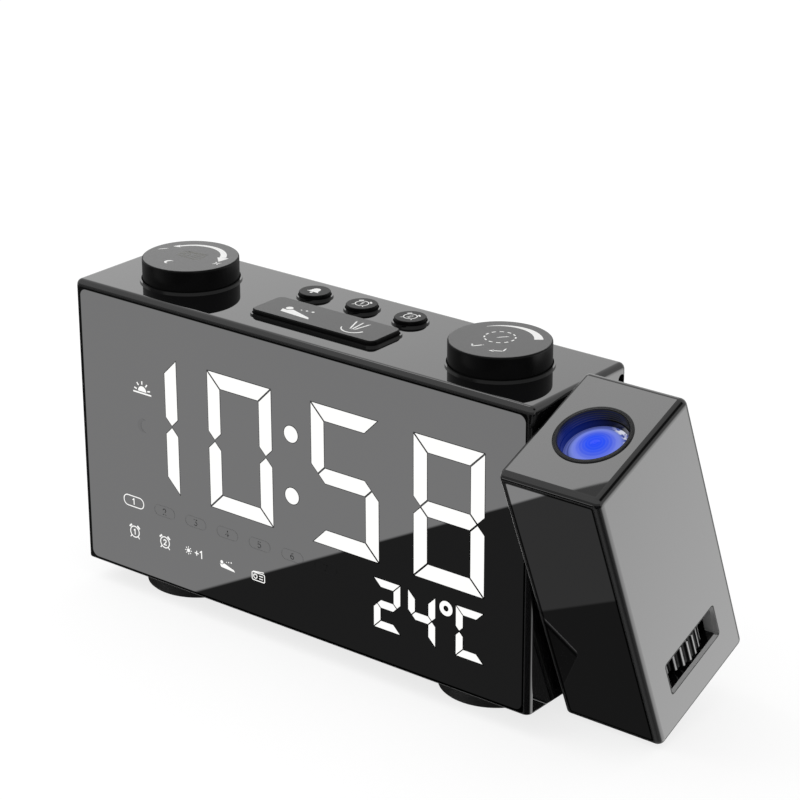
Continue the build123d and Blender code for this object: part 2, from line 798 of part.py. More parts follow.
main_board = block(main_board_right - main_board_width, main_board_right, main_board_front, main_board_back,
                   main_board_base, main_board_base + main_board_height)
for x, z in main_posts():
    main_board -= rod_y(stake_radius + stake_clearance, main_board_front - past, main_board_back + past, x, z)

dc_jack = block(jack_at[0] - jack_width / 2, jack_at[0] + jack_width / 2, main_board_back, cover_inner,
                jack_at[1] - jack_height / 2, jack_at[1] + jack_height / 2)
port_mouth = body_back - port_recess
dc_jack += rod_y(jack_collar_radius, cover_inner, port_mouth, *jack_at)
dc_jack -= rod_y(jack_bore_radius, port_mouth - jack_bore_depth, body_back + past, *jack_at)
dc_jack += rod_y(jack_pin_radius, port_mouth - jack_bore_depth, port_mouth - pin_recess, *jack_at)

usb_socket = plate_y(Rectangle(usb_width, usb_height), main_board_back, port_mouth, *usb_at)
usb_socket -= plate_y(Rectangle(usb_width - 2 * usb_shell, usb_height - 2 * usb_shell),
                      main_board_back + usb_back_wall, body_back + past, *usb_at)
usb_socket += plate_y(Pos(0, -usb_height / 4 + usb_shell / 2) * Rectangle(usb_tongue_width, usb_tongue),
                      main_board_back + usb_back_wall, port_mouth - pin_recess, *usb_at)

speaker_front = cover_inner - speaker_depth            # plane where the basket meets the magnet
basket_bore = cone_radius + cone_edge
speaker_basket = turned_y([(basket_bore, 0), (speaker_radius, 0), (speaker_radius, speaker_rim),
                           (magnet_radius + basket_floor, speaker_depth), (0, speaker_depth),
                           (0, speaker_depth - basket_floor), (magnet_radius, speaker_depth - basket_floor),
                           (basket_bore, speaker_rim)],
                          *speaker_at, cover_inner)
speaker_magnet = rod_y(magnet_radius, speaker_front - magnet_height, speaker_front, *speaker_at)
speaker_cone = turned_y([(cone_radius, cone_edge), (cone_radius, cone_edge + cone_thickness),
                         (dust_cap_radius, cone_depth + cone_thickness),
                         (0, cone_depth + cone_thickness - dust_cap_rise), (0, cone_depth - dust_cap_rise),
                         (dust_cap_radius, cone_depth)], *speaker_at, cover_inner)


def cover_screw(x, z):
    """Pan-head screw with a cross recess, driven from the back."""
    seat = body_back - screw_head_height
    screw = turned_y([(0, -screw_head_height), (screw_head_radius - screw_crown, -screw_head_height),
                      (screw_head_radius, screw_crown - screw_head_height), (screw_head_radius, 0),
                      (screw_shank_radius, 0), (screw_shank_radius, screw_length - screw_tip),
                      (0, screw_length)], x, z, seat)
    cross = Rectangle(screw_cross, screw_cross_width) + Rectangle(screw_cross_width, screw_cross)
    return screw - plate_y(cross, body_back - screw_cross_depth, body_back + past, x, z)


# ------------------------------------------------------------------ swivel hub
sleeve_face = body_right - wall - sleeve_length
retainer_face = sleeve_face - washer_thickness - 2 * face_gap
head_cover_inner = head_left + head_cover_thickness
hub_end = retainer_face - retainer_thickness

hinge_hub = rod_x(hub_radius, hub_end, head_cover_inner, 0, 0)
hinge_hub += rod_x(hub_flange_radius, head_cover_inner, head_cover_inner + hub_flange_thickness, 0, 0)
hinge_hub -= rod_x(hub_bore_radius, hub_end - past, head_cover_inner + hub_flange_thickness + past, 0, 0)
friction_washer = rod_x(retainer_radius, retainer_face + face_gap, sleeve_face - face_gap, 0, swivel_height)
friction_washer -= rod_x(hub_radius + washer_clearance, retainer_face - past, sleeve_face + past,
                         0, swivel_height)
hub_retainer = rod_x(retainer_radius, hub_end, retainer_face, 0, 0)
hub_retainer -= rod_x(hub_radius + seat_fit, hub_end - past, retainer_face + past, 0, 0)
for side in (-1, 1):
    flat = retainer_radius - retainer_flat
    hub_retainer -= block(hub_end - past, retainer_face + past, min(side * flat, side * 2 * flat),
                          max(side * flat, side * 2 * flat), -retainer_radius, retainer_radius)


# ------------------------------------------------------------------ projector head, drawn upright
def outer_head():
    """Box with generous rounds, smaller ones on the side that faces the body."""
    solid = block(head_left, head_right, -head_depth / 2, head_depth / 2, head_bottom, head_top)
    near = solid.edges().group_by(Axis.X)[0]
    others = [e for e in solid.edges() if e not in near]
    solid = fillet(others, head_edge_radius)
    return fillet(solid.edges().group_by(Axis.X)[0], head_inner_edge_radius)


head_front = -head_depth / 2
head_panel_back = head_front + head_panel_thickness
head_panel_width = head_width - head_panel_left_margin - head_panel_right_margin
head_panel_height = head_height - 2 * head_panel_end_margin
head_panel_middle = head_left + head_panel_left_margin + head_panel_width / 2
head_ledge_back = head_panel_back + head_panel_ledge
head_cavity_depth = head_depth / 2 - head_wall
lens_rim_top = head_top - lens_drop
slot_middle = head_bottom + slot_centre
rod_low = head_bottom + head_wall + rod_floor

head_housing = outer_head()
head_housing -= block(head_left - past, head_right - head_wall, head_ledge_back, head_cavity_depth,
                      head_bottom + head_wall, head_top - head_wall)
# rebate that takes the side cover
head_housing -= block(head_left - past, head_cover_inner, head_ledge_back - head_cover_lip,
                      head_cavity_depth + head_cover_lip, head_bottom + head_wall - head_cover_lip,
                      head_top - head_wall + head_cover_lip)
# recess of the front panel
head_housing -= plate_y(RectangleRounded(head_panel_width + 2 * panel_clearance,
                                         head_panel_height + 2 * panel_clearance, panel_corner_radius),
                        head_front - past, head_panel_back, head_panel_middle, head_rise)
# lens opening
head_housing -= rod_z(lens_opening_radius, head_top - head_wall - past, head_top + past, head_middle, 0)
# focus slot: deep walls inside, chamfered rim outside
collar = block(head_right - slot_collar, head_right - head_wall, -slot_length / 2 - slot_collar_wall,
               slot_length / 2 + slot_collar_wall, slot_middle - slot_height / 2 - slot_collar_wall,
               slot_middle + slot_height / 2 + slot_collar_wall)
head_housing += collar
slot = Rectangle(slot_length, slot_height)
slot_plane = Plane(origin=(head_right, 0, slot_middle), x_dir=(0, 1, 0), z_dir=(1, 0, 0))
head_housing -= extrude(slot_plane * slot, amount=-slot_collar - past)
head_housing -= loft([slot_plane.offset(-slot_chamfer) * slot,
                      slot_plane * Rectangle(slot_length + 2 * slot_chamfer, slot_height + 2 * slot_chamfer)])
# bosses on the lower wall: axle of the wheel and the two guide rods
head_housing += rod_z(axle_boss_radius, head_bottom + head_wall, head_bottom + wheel_base - face_gap,
                      wheel_middle, 0)
head_housing += rod_z(axle_radius, head_bottom + wheel_base - past, head_bottom + wheel_base + wheel_height,
                      wheel_middle, 0)
for side in (-1, 1):
    head_housing += rod_z(rod_boss_radius, head_bottom + head_wall, head_bottom + head_wall + rod_boss_height,
                          head_middle, side * rod_offset)
    head_housing -= rod_z(rod_radius + seat_fit, rod_low, head_bottom + head_wall + rod_boss_height + past,
                          head_middle, side * rod_offset)

head_cover = block(head_left, head_cover_inner, head_ledge_back - head_cover_lip + head_cover_clearance,
                   head_cavity_depth + head_cover_lip - head_cover_clearance,
                   head_bottom + head_wall - head_cover_lip + head_cover_clearance,
                   head_top - head_wall + head_cover_lip - head_cover_clearance)
head_cover -= rod_x(hub_radius + seat_fit, head_left - past, head_cover_inner + past, 0, 0)

# front panel
head_panel = plate_y(RectangleRounded(head_panel_width, head_panel_height, panel_corner_radius),
                     head_front, head_panel_back, head_panel_middle, head_rise)

# lens ring, grooved barrel and lens
ring_top = head_top + lens_ring_proud
ring_outline = [(lens_ring_inner, -lens_ring_bevel), (lens_ring_inner + lens_ring_bevel, 0),
                (lens_ring_radius - lens_ring_bevel, 0), (lens_ring_radius, -lens_ring_bevel),
                (lens_ring_radius, -lens_ring_proud), (lens_ring_neck, -lens_ring_proud),
                (lens_ring_neck, -lens_ring_proud - lens_ring_length),
                (lens_ring_inner, -lens_ring_proud - lens_ring_length)]
for groove in range(ring_groove_count):
    low = -lens_ring_proud - lens_ring_length + groove * ring_groove_pitch
    ring_outline += [(lens_ring_inner, low + ring_groove_pitch / 4),
                     (lens_ring_inner + ring_groove, low + ring_groove_pitch / 2),
                     (lens_ring_inner, low + ring_groove_pitch * 3 / 4)]
lens_ring = turned(ring_outline, head_middle, 0, ring_top)
barrel_top = head_top - lens_ring_length
barrel_base = barrel_top - barrel_length
barrel_throat = lens_radius - lens_seat_width
lens_seat = lens_rim_top - lens_rim - barrel_top
lens_barrel = turned([(barrel_radius, 0), (barrel_radius, -barrel_length), (barrel_throat, -barrel_length),
                      (barrel_throat, lens_seat), (barrel_bore, lens_seat), (barrel_bore, 0)],
                     head_middle, 0, barrel_top)
flange_top = barrel_base + barrel_flange_thickness
lens_barrel += block(head_middle - barrel_flange_width / 2, head_middle + barrel_flange_width / 2,
                     -barrel_flange, barrel_flange, barrel_base, flange_top)
lens_barrel -= rod_z(barrel_throat, barrel_base - past, flange_top + past, head_middle, 0)
for side in (-1, 1):
    lens_barrel -= rod_z(rod_radius + seat_fit, barrel_base - past, flange_top - rod_cap, head_middle,
                         side * rod_offset)


def dome(radius, rise):
    """Sphere radius of a cap of this radius and rise."""
    return (radius * radius + rise * rise) / (2 * rise)


front_sphere = dome(lens_radius - lens_land, lens_dome)
back_sphere = dome(lens_radius - lens_back_land, lens_back_dome)
lens_rim_base = lens_rim_top - lens_rim
lens = rod_z(lens_radius, lens_rim_base, lens_rim_top, head_middle, 0)
lens += Pos(head_middle, 0, lens_rim_top + lens_dome - front_sphere) * Sphere(front_sphere) \
    & rod_z(lens_radius - lens_land, lens_rim_base, lens_rim_top + lens_dome + past, head_middle, 0)
lens += Pos(head_middle, 0, lens_rim_base - lens_back_dome + back_sphere) * Sphere(back_sphere) \
    & rod_z(lens_radius - lens_back_land, lens_rim_base - lens_back_dome - past, lens_rim_top, head_middle, 0)

# guide rods between the lower bosses and the barrel's flange
rod_high = flange_top - rod_cap


def guide_rod(side):
    return rod_z(rod_radius, rod_low, rod_high, head_middle, side * rod_offset)


# levels shared by the focus wheel and the carriage
wheel_low = head_bottom + wheel_base
wheel_high = wheel_low + wheel_height
carriage_low = head_bottom + carriage_base
carriage_top = carriage_low + carriage_length
floor_top = carriage_low + carriage_floor
nut_bore_top = floor_top - nut_roof
focus_travel = focus_lead * focus_turn / 360
spindle_top = nut_bore_top - focus_travel - spindle_end_gap
condenser_low = floor_top + condenser_seat
mask_low = carriage_top - mouth_depth

# focus wheel: fluted rim, bore for its axle, spindle that lifts the carriage
wheel_outline = Circle(wheel_radius)
flute = Pos(wheel_radius + flute_out, 0) * Circle(flute_radius)
wheel_outline -= [Rot(0, 0, 360 / wheel_flutes * turn) * flute for turn in range(wheel_flutes)]
focus_wheel = prism_z(wheel_outline, wheel_low, wheel_high, wheel_middle, 0)
focus_wheel += rod_z(spindle_radius, wheel_high, spindle_top, wheel_middle, 0)
focus_wheel -= rod_z(axle_radius + running_fit, wheel_low - past, wheel_high + axle_end_gap, wheel_middle, 0)

# carriage: tube on a floor, nut below, two pairs of ears on the guide rods
focus_carriage = rod_z(carriage_radius, carriage_low, carriage_top, head_middle, 0)
focus_carriage += rod_z(nut_radius, carriage_low - nut_length, floor_top, wheel_middle, 0)
ear_end = rod_offset + rod_radius + ear_overhang
for side in (-1, 1):
    for ear_low in (carriage_low, carriage_top - carriage_ear):
        focus_carriage += block(head_middle - carriage_ear, head_middle + carriage_ear,
                                min(side * ear_root, side * ear_end), max(side * ear_root, side * ear_end),
                                ear_low, ear_low + carriage_ear)
    focus_carriage -= rod_z(rod_radius + running_fit, carriage_low - past, carriage_top + past, head_middle,
                            side * rod_offset)
focus_carriage -= rod_z(emitter_well_radius, floor_top, carriage_top + past, head_middle, 0)
focus_carriage -= rod_z(condenser_radius + seat_fit, condenser_low, carriage_top + past, head_middle, 0)
focus_carriage -= rod_z(mouth_radius, mask_low, carriage_top + past, head_middle, 0)
focus_carriage -= rod_z(spindle_radius + running_fit, carriage_low - nut_length - past, nut_bore_top,
                        wheel_middle, 0)

# light source, condenser lens and the glass plate with the projected figures, all in the carriage
led_emitter = square_z(emitter_size, floor_top, floor_top + emitter_height, head_middle, 0)
led_dome = dome(emitter_dome_radius, emitter_dome)
led_emitter += Pos(head_middle, 0, floor_top + emitter_height + emitter_dome - led_dome) * Sphere(led_dome) \
    & rod_z(emitter_dome_radius, floor_top, floor_top + emitter_height + emitter_dome + past, head_middle, 0)
condenser_top = condenser_low + condenser_height
condenser_sphere = dome(condenser_radius, condenser_height - condenser_edge)
condenser_lens = Pos(head_middle, 0, condenser_top - condenser_sphere) * Sphere(condenser_sphere) \
    & rod_z(condenser_radius, condenser_low, condenser_top + past, head_middle, 0)
time_mask = square_z(mask_size, mask_low, mask_low + mask_glass, head_middle, 0)
time_mask += block(head_middle - mask_size / 2, head_middle + mask_size / 2, mask_ledge - mask_size / 2,
                   mask_size / 2, mask_low + mask_glass, mask_low + 2 * mask_glass)

# ------------------------------------------------------------------ nodes
nodes = {
    "housing": housing, "mirror_panel": mirror_panel, "back_cover": back_cover,
    "digit_reflector": digit_reflector, "digit_board": digit_board, "key_board": key_board,
    "main_board": main_board, "foot_left": feet[0], "foot_right": feet[1],
    "speaker_basket": speaker_basket, "speaker_magnet": speaker_magnet, "speaker_cone": speaker_cone,
    "dc_jack": dc_jack, "usb_socket": usb_socket, "coin_cell": coin_cell,
    "cell_contact": cell_contact, "side_contact": side_contact, "battery_door": battery_door,
    "snooze_bar": snooze_bar, "friction_washer": friction_washer,
    "head_housing": in_head(head_housing), "head_cover": in_head(head_cover),
    "head_panel": in_head(head_panel),
    "hinge_hub": in_head(hinge_hub), "hub_retainer": in_head(hub_retainer), "lens_ring": in_head(lens_ring),
    "lens_barrel": in_head(lens_barrel), "lens": in_head(lens), "focus_wheel": in_head(focus_wheel),
    "focus_carriage": in_head(focus_carriage), "led_emitter": in_head(led_emitter),
    "condenser_lens": in_head(condenser_lens), "time_mask": in_head(time_mask),
    "guide_rod_front": in_head(guide_rod(-1)), "guide_rod_back": in_head(guide_rod(1)),
}
for name, (x, y) in zip(("left", "right"), knob_centres()):
    nodes["knob_" + name] = knob(x, y)
    nodes["knob_shaft_" + name] = knob_shaft(x, y)
    nodes["encoder_" + name] = encoder(x, y)
    nodes["encoder_plunger_" + name] = encoder_plunger(x, y)
for number, (x, y) in enumerate(key_centres(), 1):
    nodes["key_%d" % number] = key(x, y)
    nodes["key_switch_%d" % number] = tact_switch(x, y, key_press)
    nodes["key_plunger_%d" % number] = switch_plunger(x, y)
for name, (x, y) in zip(("left", "right"), bar_stems()):
    nodes["snooze_switch_" + name] = tact_switch(x, y, bar_press)
    nodes["snooze_plunger_" + name] = switch_plunger(x, y)
nodes["cover_screws"] = Compound([cover_screw(x, z) for x, z in screw_centres()])

os.makedirs("parts", exist_ok=True)
for name, shape in nodes.items():
    export_step(Pos(0, depth_shift, 0) * shape, "parts/" + name + ".step")
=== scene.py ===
import bmesh
import bpy
import json
from math import cos, hypot, pi, radians, sin, sqrt
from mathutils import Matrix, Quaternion, Vector


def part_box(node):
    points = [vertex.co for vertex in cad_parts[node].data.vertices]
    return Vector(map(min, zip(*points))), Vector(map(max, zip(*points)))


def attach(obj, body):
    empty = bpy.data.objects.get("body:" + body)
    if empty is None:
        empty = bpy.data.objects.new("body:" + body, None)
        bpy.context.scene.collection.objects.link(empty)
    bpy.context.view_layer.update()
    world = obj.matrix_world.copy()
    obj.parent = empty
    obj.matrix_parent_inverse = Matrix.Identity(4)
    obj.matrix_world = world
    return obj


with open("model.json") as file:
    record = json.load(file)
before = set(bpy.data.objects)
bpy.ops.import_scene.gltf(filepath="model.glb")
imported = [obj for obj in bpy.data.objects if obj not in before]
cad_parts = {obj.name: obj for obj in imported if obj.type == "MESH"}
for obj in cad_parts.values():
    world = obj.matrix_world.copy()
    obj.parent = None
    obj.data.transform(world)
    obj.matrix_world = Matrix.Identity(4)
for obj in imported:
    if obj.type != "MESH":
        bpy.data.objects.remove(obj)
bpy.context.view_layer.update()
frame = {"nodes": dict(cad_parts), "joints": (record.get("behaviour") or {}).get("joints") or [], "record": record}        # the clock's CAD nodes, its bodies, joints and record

# A projection alarm clock: mirror front with a lit display, knobs, bar and keys on top, and a
# tilting projector head. Lengths in the dictionaries are millimetres; Blender gets metres.
mm = 0.001
nodes = frame["nodes"]


# Places on the clock, read from the frame

rightward, backward, upward = Vector((1, 0, 0)), Vector((0, 1, 0)), Vector((0, 0, 1))


def jointPlace(name):
    return Vector(next(joint for joint in frame["joints"] if joint["name"] == name)["pos_m"])


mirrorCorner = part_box("mirror_panel")[0]   # lower left, on the front face
pivot = jointPlace("head_swivel")
# The head at rest; its middle stands that rise above the pivot.
headRest = {"tilt": 22.0, "height": 83.0, "depth": 39.8, "rise": 4.8}
headTurn = Quaternion(rightward, radians(headRest["tilt"]))
headUp = headTurn @ upward
headBack = headTurn @ backward
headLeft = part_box("head_cover")[0].x
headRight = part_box("head_housing")[1].x
headWidth = (headRight - headLeft) / mm


# A point of the head: across from its left side, back from its middle, up from its lower end.
def headPoint(across, back, up):
    lowerEnd = headRest["rise"] - headRest["height"] / 2
    start = Vector((headLeft + across * mm, pivot.y, pivot.z))
    return start + headBack * back * mm + headUp * (up + lowerEnd) * mm


def mirrorPoint(across, up):               # a point of the clock's front, from its lower left corner
    return mirrorCorner + (rightward * across + upward * up) * mm


# Camera

viewpoint = {
    "focal": 120.04, "distance": 690.2, "azimuth": 38.51, "elevation": 21.86,
    "roll": -0.176, "target": (1.81, 6.05, 68.61),
}


def placeCamera():
    turn, rise = radians(viewpoint["azimuth"]), radians(viewpoint["elevation"])
    back = Vector((sin(turn) * cos(rise), -cos(turn) * cos(rise), sin(rise)))
    data = bpy.data.cameras.new("camera")
    data.lens = viewpoint["focal"]
    data.clip_start, data.clip_end = 0.01, 20
    camera = bpy.data.objects.new("camera", data)
    camera.location = Vector(viewpoint["target"]) * mm + back * viewpoint["distance"] * mm
    camera.rotation_mode = "QUATERNION"
    level = (-back).to_track_quat("-Z", "Y")
    camera.rotation_quaternion = level @ Quaternion((0, 0, 1), radians(viewpoint["roll"]))
    bpy.context.scene.collection.objects.link(camera)
    bpy.context.scene.camera = camera
    return camera


camera = placeCamera()
bpy.context.scene.view_settings.view_transform = "Standard"
print("camera placed")


# Shader sums

class Link:                                # a socket that can stand in sums
    def __init__(self, net, socket):
        self.net = net
        self.socket = socket

    def maths(self, operation, *others):
        values = {index + 1: other for index, other in enumerate(others)}
        return self.net.node("ShaderNodeMath", {"operation": operation}, {0: self, **values})[0]

    def __add__(self, other):
        return self.maths("ADD", other)

    __radd__ = __add__

    def __mul__(self, other):
        return self.maths("MULTIPLY", other)

    __rmul__ = __mul__

    def __sub__(self, other):
        return self.maths("SUBTRACT", other)

    def __rsub__(self, other):
        return (self * -1) + other

    def __truediv__(self, other):
        return self.maths("DIVIDE", other)

    def above(self, edge, blur):           # 0 below the edge and 1 above it, softened
        settings = {"interpolation_type": "SMOOTHSTEP"}
        span = {1: edge - blur, 2: edge + blur}
        return self.net.node("ShaderNodeMapRange", settings, {0: self, **span})[0]

    def below(self, edge, blur):
        return 1 - self.above(edge, blur)


def between(share, first, second):         # the first where the share is 0, the second where it is 1
    return share * (second - first) + first


class Net:                                 # one material's or world's nodes
    def __init__(self, owner):
        owner.use_nodes = True
        self.tree = owner.node_tree
        self.tree.nodes.clear()

    def node(self, kind, settings=None, values=None):
        made = self.tree.nodes.new(kind)
        for key, value in (settings or {}).items():
            if key == "stops":
                self.fillRamp(made.color_ramp, value)
            else:
                setattr(made, key, value)
        for key, value in (values or {}).items():
            socket = made.inputs[key]
            if isinstance(value, Link):
                self.tree.links.new(value.socket, socket)
            elif socket.type == "RGBA":
                socket.default_value = (*value, 1)
            else:
                socket.default_value = value
        return Outputs(self, made)

    def fillRamp(self, ramp, stops):
        while len(ramp.elements) < len(stops):
            ramp.elements.new(1)
        for element, (place, colour) in zip(ramp.elements, stops):
            element.position = place
            element.color = (*colour, 1)

    def mix(self, share, first, second):   # two colours
        values = {0: share, 6: first, 7: second}
        return self.node("ShaderNodeMix", {"data_type": "RGBA"}, values)[2]

    def dot(self, vector, axis):
        settings = {"operation": "DOT_PRODUCT"}
        return self.node("ShaderNodeVectorMath", settings, {0: vector, 1: axis})["Value"]

    def place(self):                       # the point on the clock at rest, in metres
        return self.node("ShaderNodeTexCoord")["Object"]

    def along(self, axis, start):          # how far that point lies past another, in millimetres
        return (self.dot(self.place(), axis) - start.dot(axis)) / mm

    def stretched(self, scale):
        settings = {"operation": "MULTIPLY"}
        return self.node("ShaderNodeVectorMath", settings, {0: self.place(), 1: scale})[0]

    def noise(self, size, detail=2.0, where=None):     # size of its lumps, in millimetres
        values = {"Scale": 1 / (size * mm), "Detail": detail, "Vector": where or self.place()}
        return self.node("ShaderNodeTexNoise", None, values)[0]

    def bump(self, height, depth, strength=1.0):       # depth in millimetres
        values = {"Height": height, "Distance": depth * mm, "Strength": strength}
        return self.node("ShaderNodeBump", None, values)[0]

    def surface(self, **values):
        named = {"baseColour": "Base Color", "roughness": "Roughness", "metallic": "Metallic", "ior": "IOR",
                 "normal": "Normal", "coat": "Coat Weight", "coatRoughness": "Coat Roughness",
                 "coatIor": "Coat IOR", "glow": "Emission Color", "glowStrength": "Emission Strength",
                 "transmission": "Transmission Weight", "specular": "Specular IOR Level"}
        sockets = {named[key]: value for key, value in values.items()}
        shader = self.node("ShaderNodeBsdfPrincipled", None, sockets)[0]
        self.node("ShaderNodeOutputMaterial", None, {"Surface": shader})


class Outputs:                             # a node's output sockets, by name or number
    def __init__(self, net, node):
        self.net = net
        self.node = node

    def __getitem__(self, key):
        return Link(self.net, self.node.outputs[key])


def newFinish(name):
    material = bpy.data.materials.new(name)
    return material, Net(material)


# Studio: white floor and world, one lamp, and a room of soft boards that the gloss mirrors

studio = {
    "floorSize": 9.0, "floorParts": 8, "floorColour": (0.9, 0.9, 0.9), "floorWhite": 1.1,
    "floorLift": 0.7, "plainLight": 0.85, "lampSize": 1.2, "lampPower": 8.0, "lampAt": (-0.9, -0.5, 1.6),
}
# What the gloss mirrors, by the direction it looks: a grey room, darker low down and in front.
room = {"light": 0.55, "low": 0.28, "front": 0.25, "frontAbove": 0.6, "lowLeft": 0.02}
# Where each part of the room ends, by the direction's x, y or z, and how softly.
roomEnds = {
    "low": (-0.27, 0.02), "front": (-0.28, 0.12), "frontAbove": (0.2, 0.08), "left": (-0.35, 0.05),
    "under": (-0.29, 0.015), "underFront": (-0.55, 0.04), "underLeft": (-0.3, 0.05),
    "underDark": (-0.5, 0.01), "steep": (-0.68, 0.02),
}
# Soft boards: the direction each stands in, how far it reaches round that, its rim, its light.
# A slope changes the light along a direction; lowOnly keeps a board to the room's low part.
boards = [
    {"towards": (-0.60, 0.72, 0.345), "reach": 15, "rim": 6, "light": 0.433, "slope": (-0.8, 0, 0)},
    {"towards": (0.617, 0.20, 0.76), "reach": 16, "rim": 12, "light": 0.03},
    {"towards": (0.69, 0.57, -0.45), "reach": 27, "rim": 22, "light": 1.85},
    {"towards": (0.505, 0.72, -0.475), "reach": 1.1, "rim": 0.4, "light": 0.02},
    {"towards": (0.57, -0.72, -0.37), "reach": 40, "rim": 16, "light": 0.02, "lowOnly": True},
]
# The white board under the front ends along a straight edge, which the mirror front shows as a
# diagonal. Two points of that edge on the mirror, from its lower left corner.
frontEdge = {"from": (39.6, 0.65), "to": (144.6, 55.2), "light": 1.0, "dark": 0.07}
# The board over the head's top ends in one too; points across, and back from the head's middle.
topEdge = {"from": (20.1, -18.0), "to": (27.2, -11.8), "light": 2.1, "dark": 0.38,
           "towards": (-0.515, 0.285, 0.81), "reach": 7, "rim": 2}
# The head's mirror shows two more edges; points across and up from the head's lower left.
headEdges = [
    {"from": (2.1, 38.2), "to": (20.1, 47.8), "light": 0.15},
    {"from": (1.6, 73.6), "to": (14.3, 81.4), "light": 1.15},
]
headDark = 0.045                           # what the head's mirror shows below both edges
edgeBlur = 0.0006


# The plane through the mirrored camera and an edge seen in a mirror, facing the lit side.
def mirroredEdge(first, second, litSide, face):
    eye = camera.location
    mirrored = eye - face * 2 * (eye - first).dot(face)
    plane = (first - mirrored).cross(second - mirrored).normalized()
    return plane if plane.dot(litSide) > 0 else -plane


def frontEdgePlane():
    return mirroredEdge(mirrorPoint(*frontEdge["from"]), mirrorPoint(*frontEdge["to"]), upward, -backward)


def topEdgePlane():
    first, second = (headPoint(*topEdge[end], headRest["height"]) for end in ("from", "to"))
    return mirroredEdge(first, second, headBack, headUp)


def headEdgePlane(edge):
    front = -headRest["depth"] / 2
    first, second = (headPoint(edge[end][0], front, edge[end][1]) for end in ("from", "to"))
    return mirroredEdge(first, second, headUp, -headBack)


def boardMask(net, look, board):
    near = cos(radians(board["reach"] - board["rim"] / 2))
    far = cos(radians(board["reach"] + board["rim"] / 2))
    return net.dot(look, Vector(board["towards"]).normalized()).above((near + far) / 2, (near - far) / 2)


def edgeLight(net, look, plane, light, dark):      # light on one side of a mirrored edge, dark past it
    return between(net.dot(look, plane).above(0, edgeBlur), dark, light)


def roomLight(x, y, z, low):
    light = between(low, room["light"], room["low"])
    front = between(z.above(*roomEnds["frontAbove"]), room["front"], room["frontAbove"])
    light = between(y.below(*roomEnds["front"]), light, front)
    return between(x.below(*roomEnds["left"]) * low, light, room["lowLeft"])


def boardLight(net):
    look = net.node("ShaderNodeTexCoord")["Generated"]
    x, y, z = (net.dot(look, axis) for axis in (rightward, backward, upward))
    low = z.below(*roomEnds["low"])
    light = roomLight(x, y, z, low)
    for board in boards:
        own = net.dot(look, board.get("slope", (0, 0, 0))) + board["light"]
        share = boardMask(net, look, board) * (low if board.get("lowOnly") else 1.0)
        light = between(share, light, own)
    top = edgeLight(net, look, topEdgePlane(), topEdge["light"], topEdge["dark"])
    light = between(boardMask(net, look, topEdge), light, top)
    under = z.below(*roomEnds["under"]) * y.below(*roomEnds["underFront"]) * x.below(*roomEnds["underLeft"])
    front = edgeLight(net, look, frontEdgePlane(), frontEdge["light"], frontEdge["dark"])
    light = between(under, light, front * z.above(*roomEnds["underDark"]))
    head = headDark
    for edge in headEdges:
        head = edgeLight(net, look, headEdgePlane(edge), edge["light"], head)
    return between(z.below(*roomEnds["steep"]) * x.below(*roomEnds["left"]), light, head)


def background(net, strength):
    return net.node("ShaderNodeBackground", None, {"Color": (1, 1, 1), "Strength": strength})[0]


def seenStraight(net, rays):               # 1 for what the camera sees itself, or through glass
    return rays["Is Camera Ray"].maths("MAXIMUM", rays["Is Transmission Ray"])


def buildWorld():
    world = bpy.data.worlds.new("studio")
    bpy.context.scene.world = world
    net = Net(world)
    rays = net.node("ShaderNodeLightPath")
    plain = background(net, studio["plainLight"])
    gloss = background(net, boardLight(net))
    lit = net.node("ShaderNodeMixShader", None, {0: rays["Is Glossy Ray"], 1: plain, 2: gloss})[0]
    seen = {0: seenStraight(net, rays), 1: lit, 2: background(net, 1.0)}
    shown = net.node("ShaderNodeMixShader", None, seen)[0]
    net.node("ShaderNodeOutputWorld", None, {"Surface": shown})


def buildFloor():
    mesh = bmesh.new()
    parts = studio["floorParts"]
    bmesh.ops.create_grid(mesh, x_segments=parts, y_segments=parts, size=studio["floorSize"] / 2)
    data = bpy.data.meshes.new("floor")
    mesh.to_mesh(data)
    mesh.free()
    floor = bpy.data.objects.new("floor", data)
    bpy.context.scene.collection.objects.link(floor)
    material, net = newFinish("floor_white")
    seen = seenStraight(net, net.node("ShaderNodeLightPath"))
    matt = net.node("ShaderNodeBsdfDiffuse", None, {"Color": studio["floorColour"]})[0]
    white = net.node("ShaderNodeEmission", None, {"Strength": studio["floorWhite"]})[0]
    mixed = net.node("ShaderNodeMixShader", None, {0: seen * studio["floorLift"], 1: matt, 2: white})[0]
    net.node("ShaderNodeOutputMaterial", None, {"Surface": mixed})
    floor.data.materials.append(material)
    floor.visible_glossy = False           # the gloss mirrors the room instead


def buildLamp():
    data = bpy.data.lights.new("softLamp", "AREA")
    data.size = studio["lampSize"]
    data.energy = studio["lampPower"]
    lamp = bpy.data.objects.new("softLamp", data)
    lamp.location = studio["lampAt"]
    lamp.rotation_mode = "QUATERNION"
    lamp.rotation_quaternion = (-Vector(studio["lampAt"])).to_track_quat("-Z", "Y")
    lamp.visible_glossy = False
    bpy.context.scene.collection.objects.link(lamp)


buildWorld()
buildFloor()
buildLamp()
print("studio built")


# Finishes. In their dictionaries dark and pale are the two colours that a noise mixes.

blackGloss = {"dark": (0.002, 0.002, 0.0022), "pale": (0.0035, 0.0035, 0.0037), "roughness": 0.004,
              "smear": 0.008, "smearSize": 38, "wave": 9, "waveDepth": 0.0006, "matt": 0.6,
              "coatRoughness": 0.002, "ior": 1.5}


def facing(net, axis, least=0.98, blur=0.015):         # 1 where a face looks along an axis at rest
    return net.dot(net.node("ShaderNodeTexCoord")["Normal"], axis).above(least, blur)


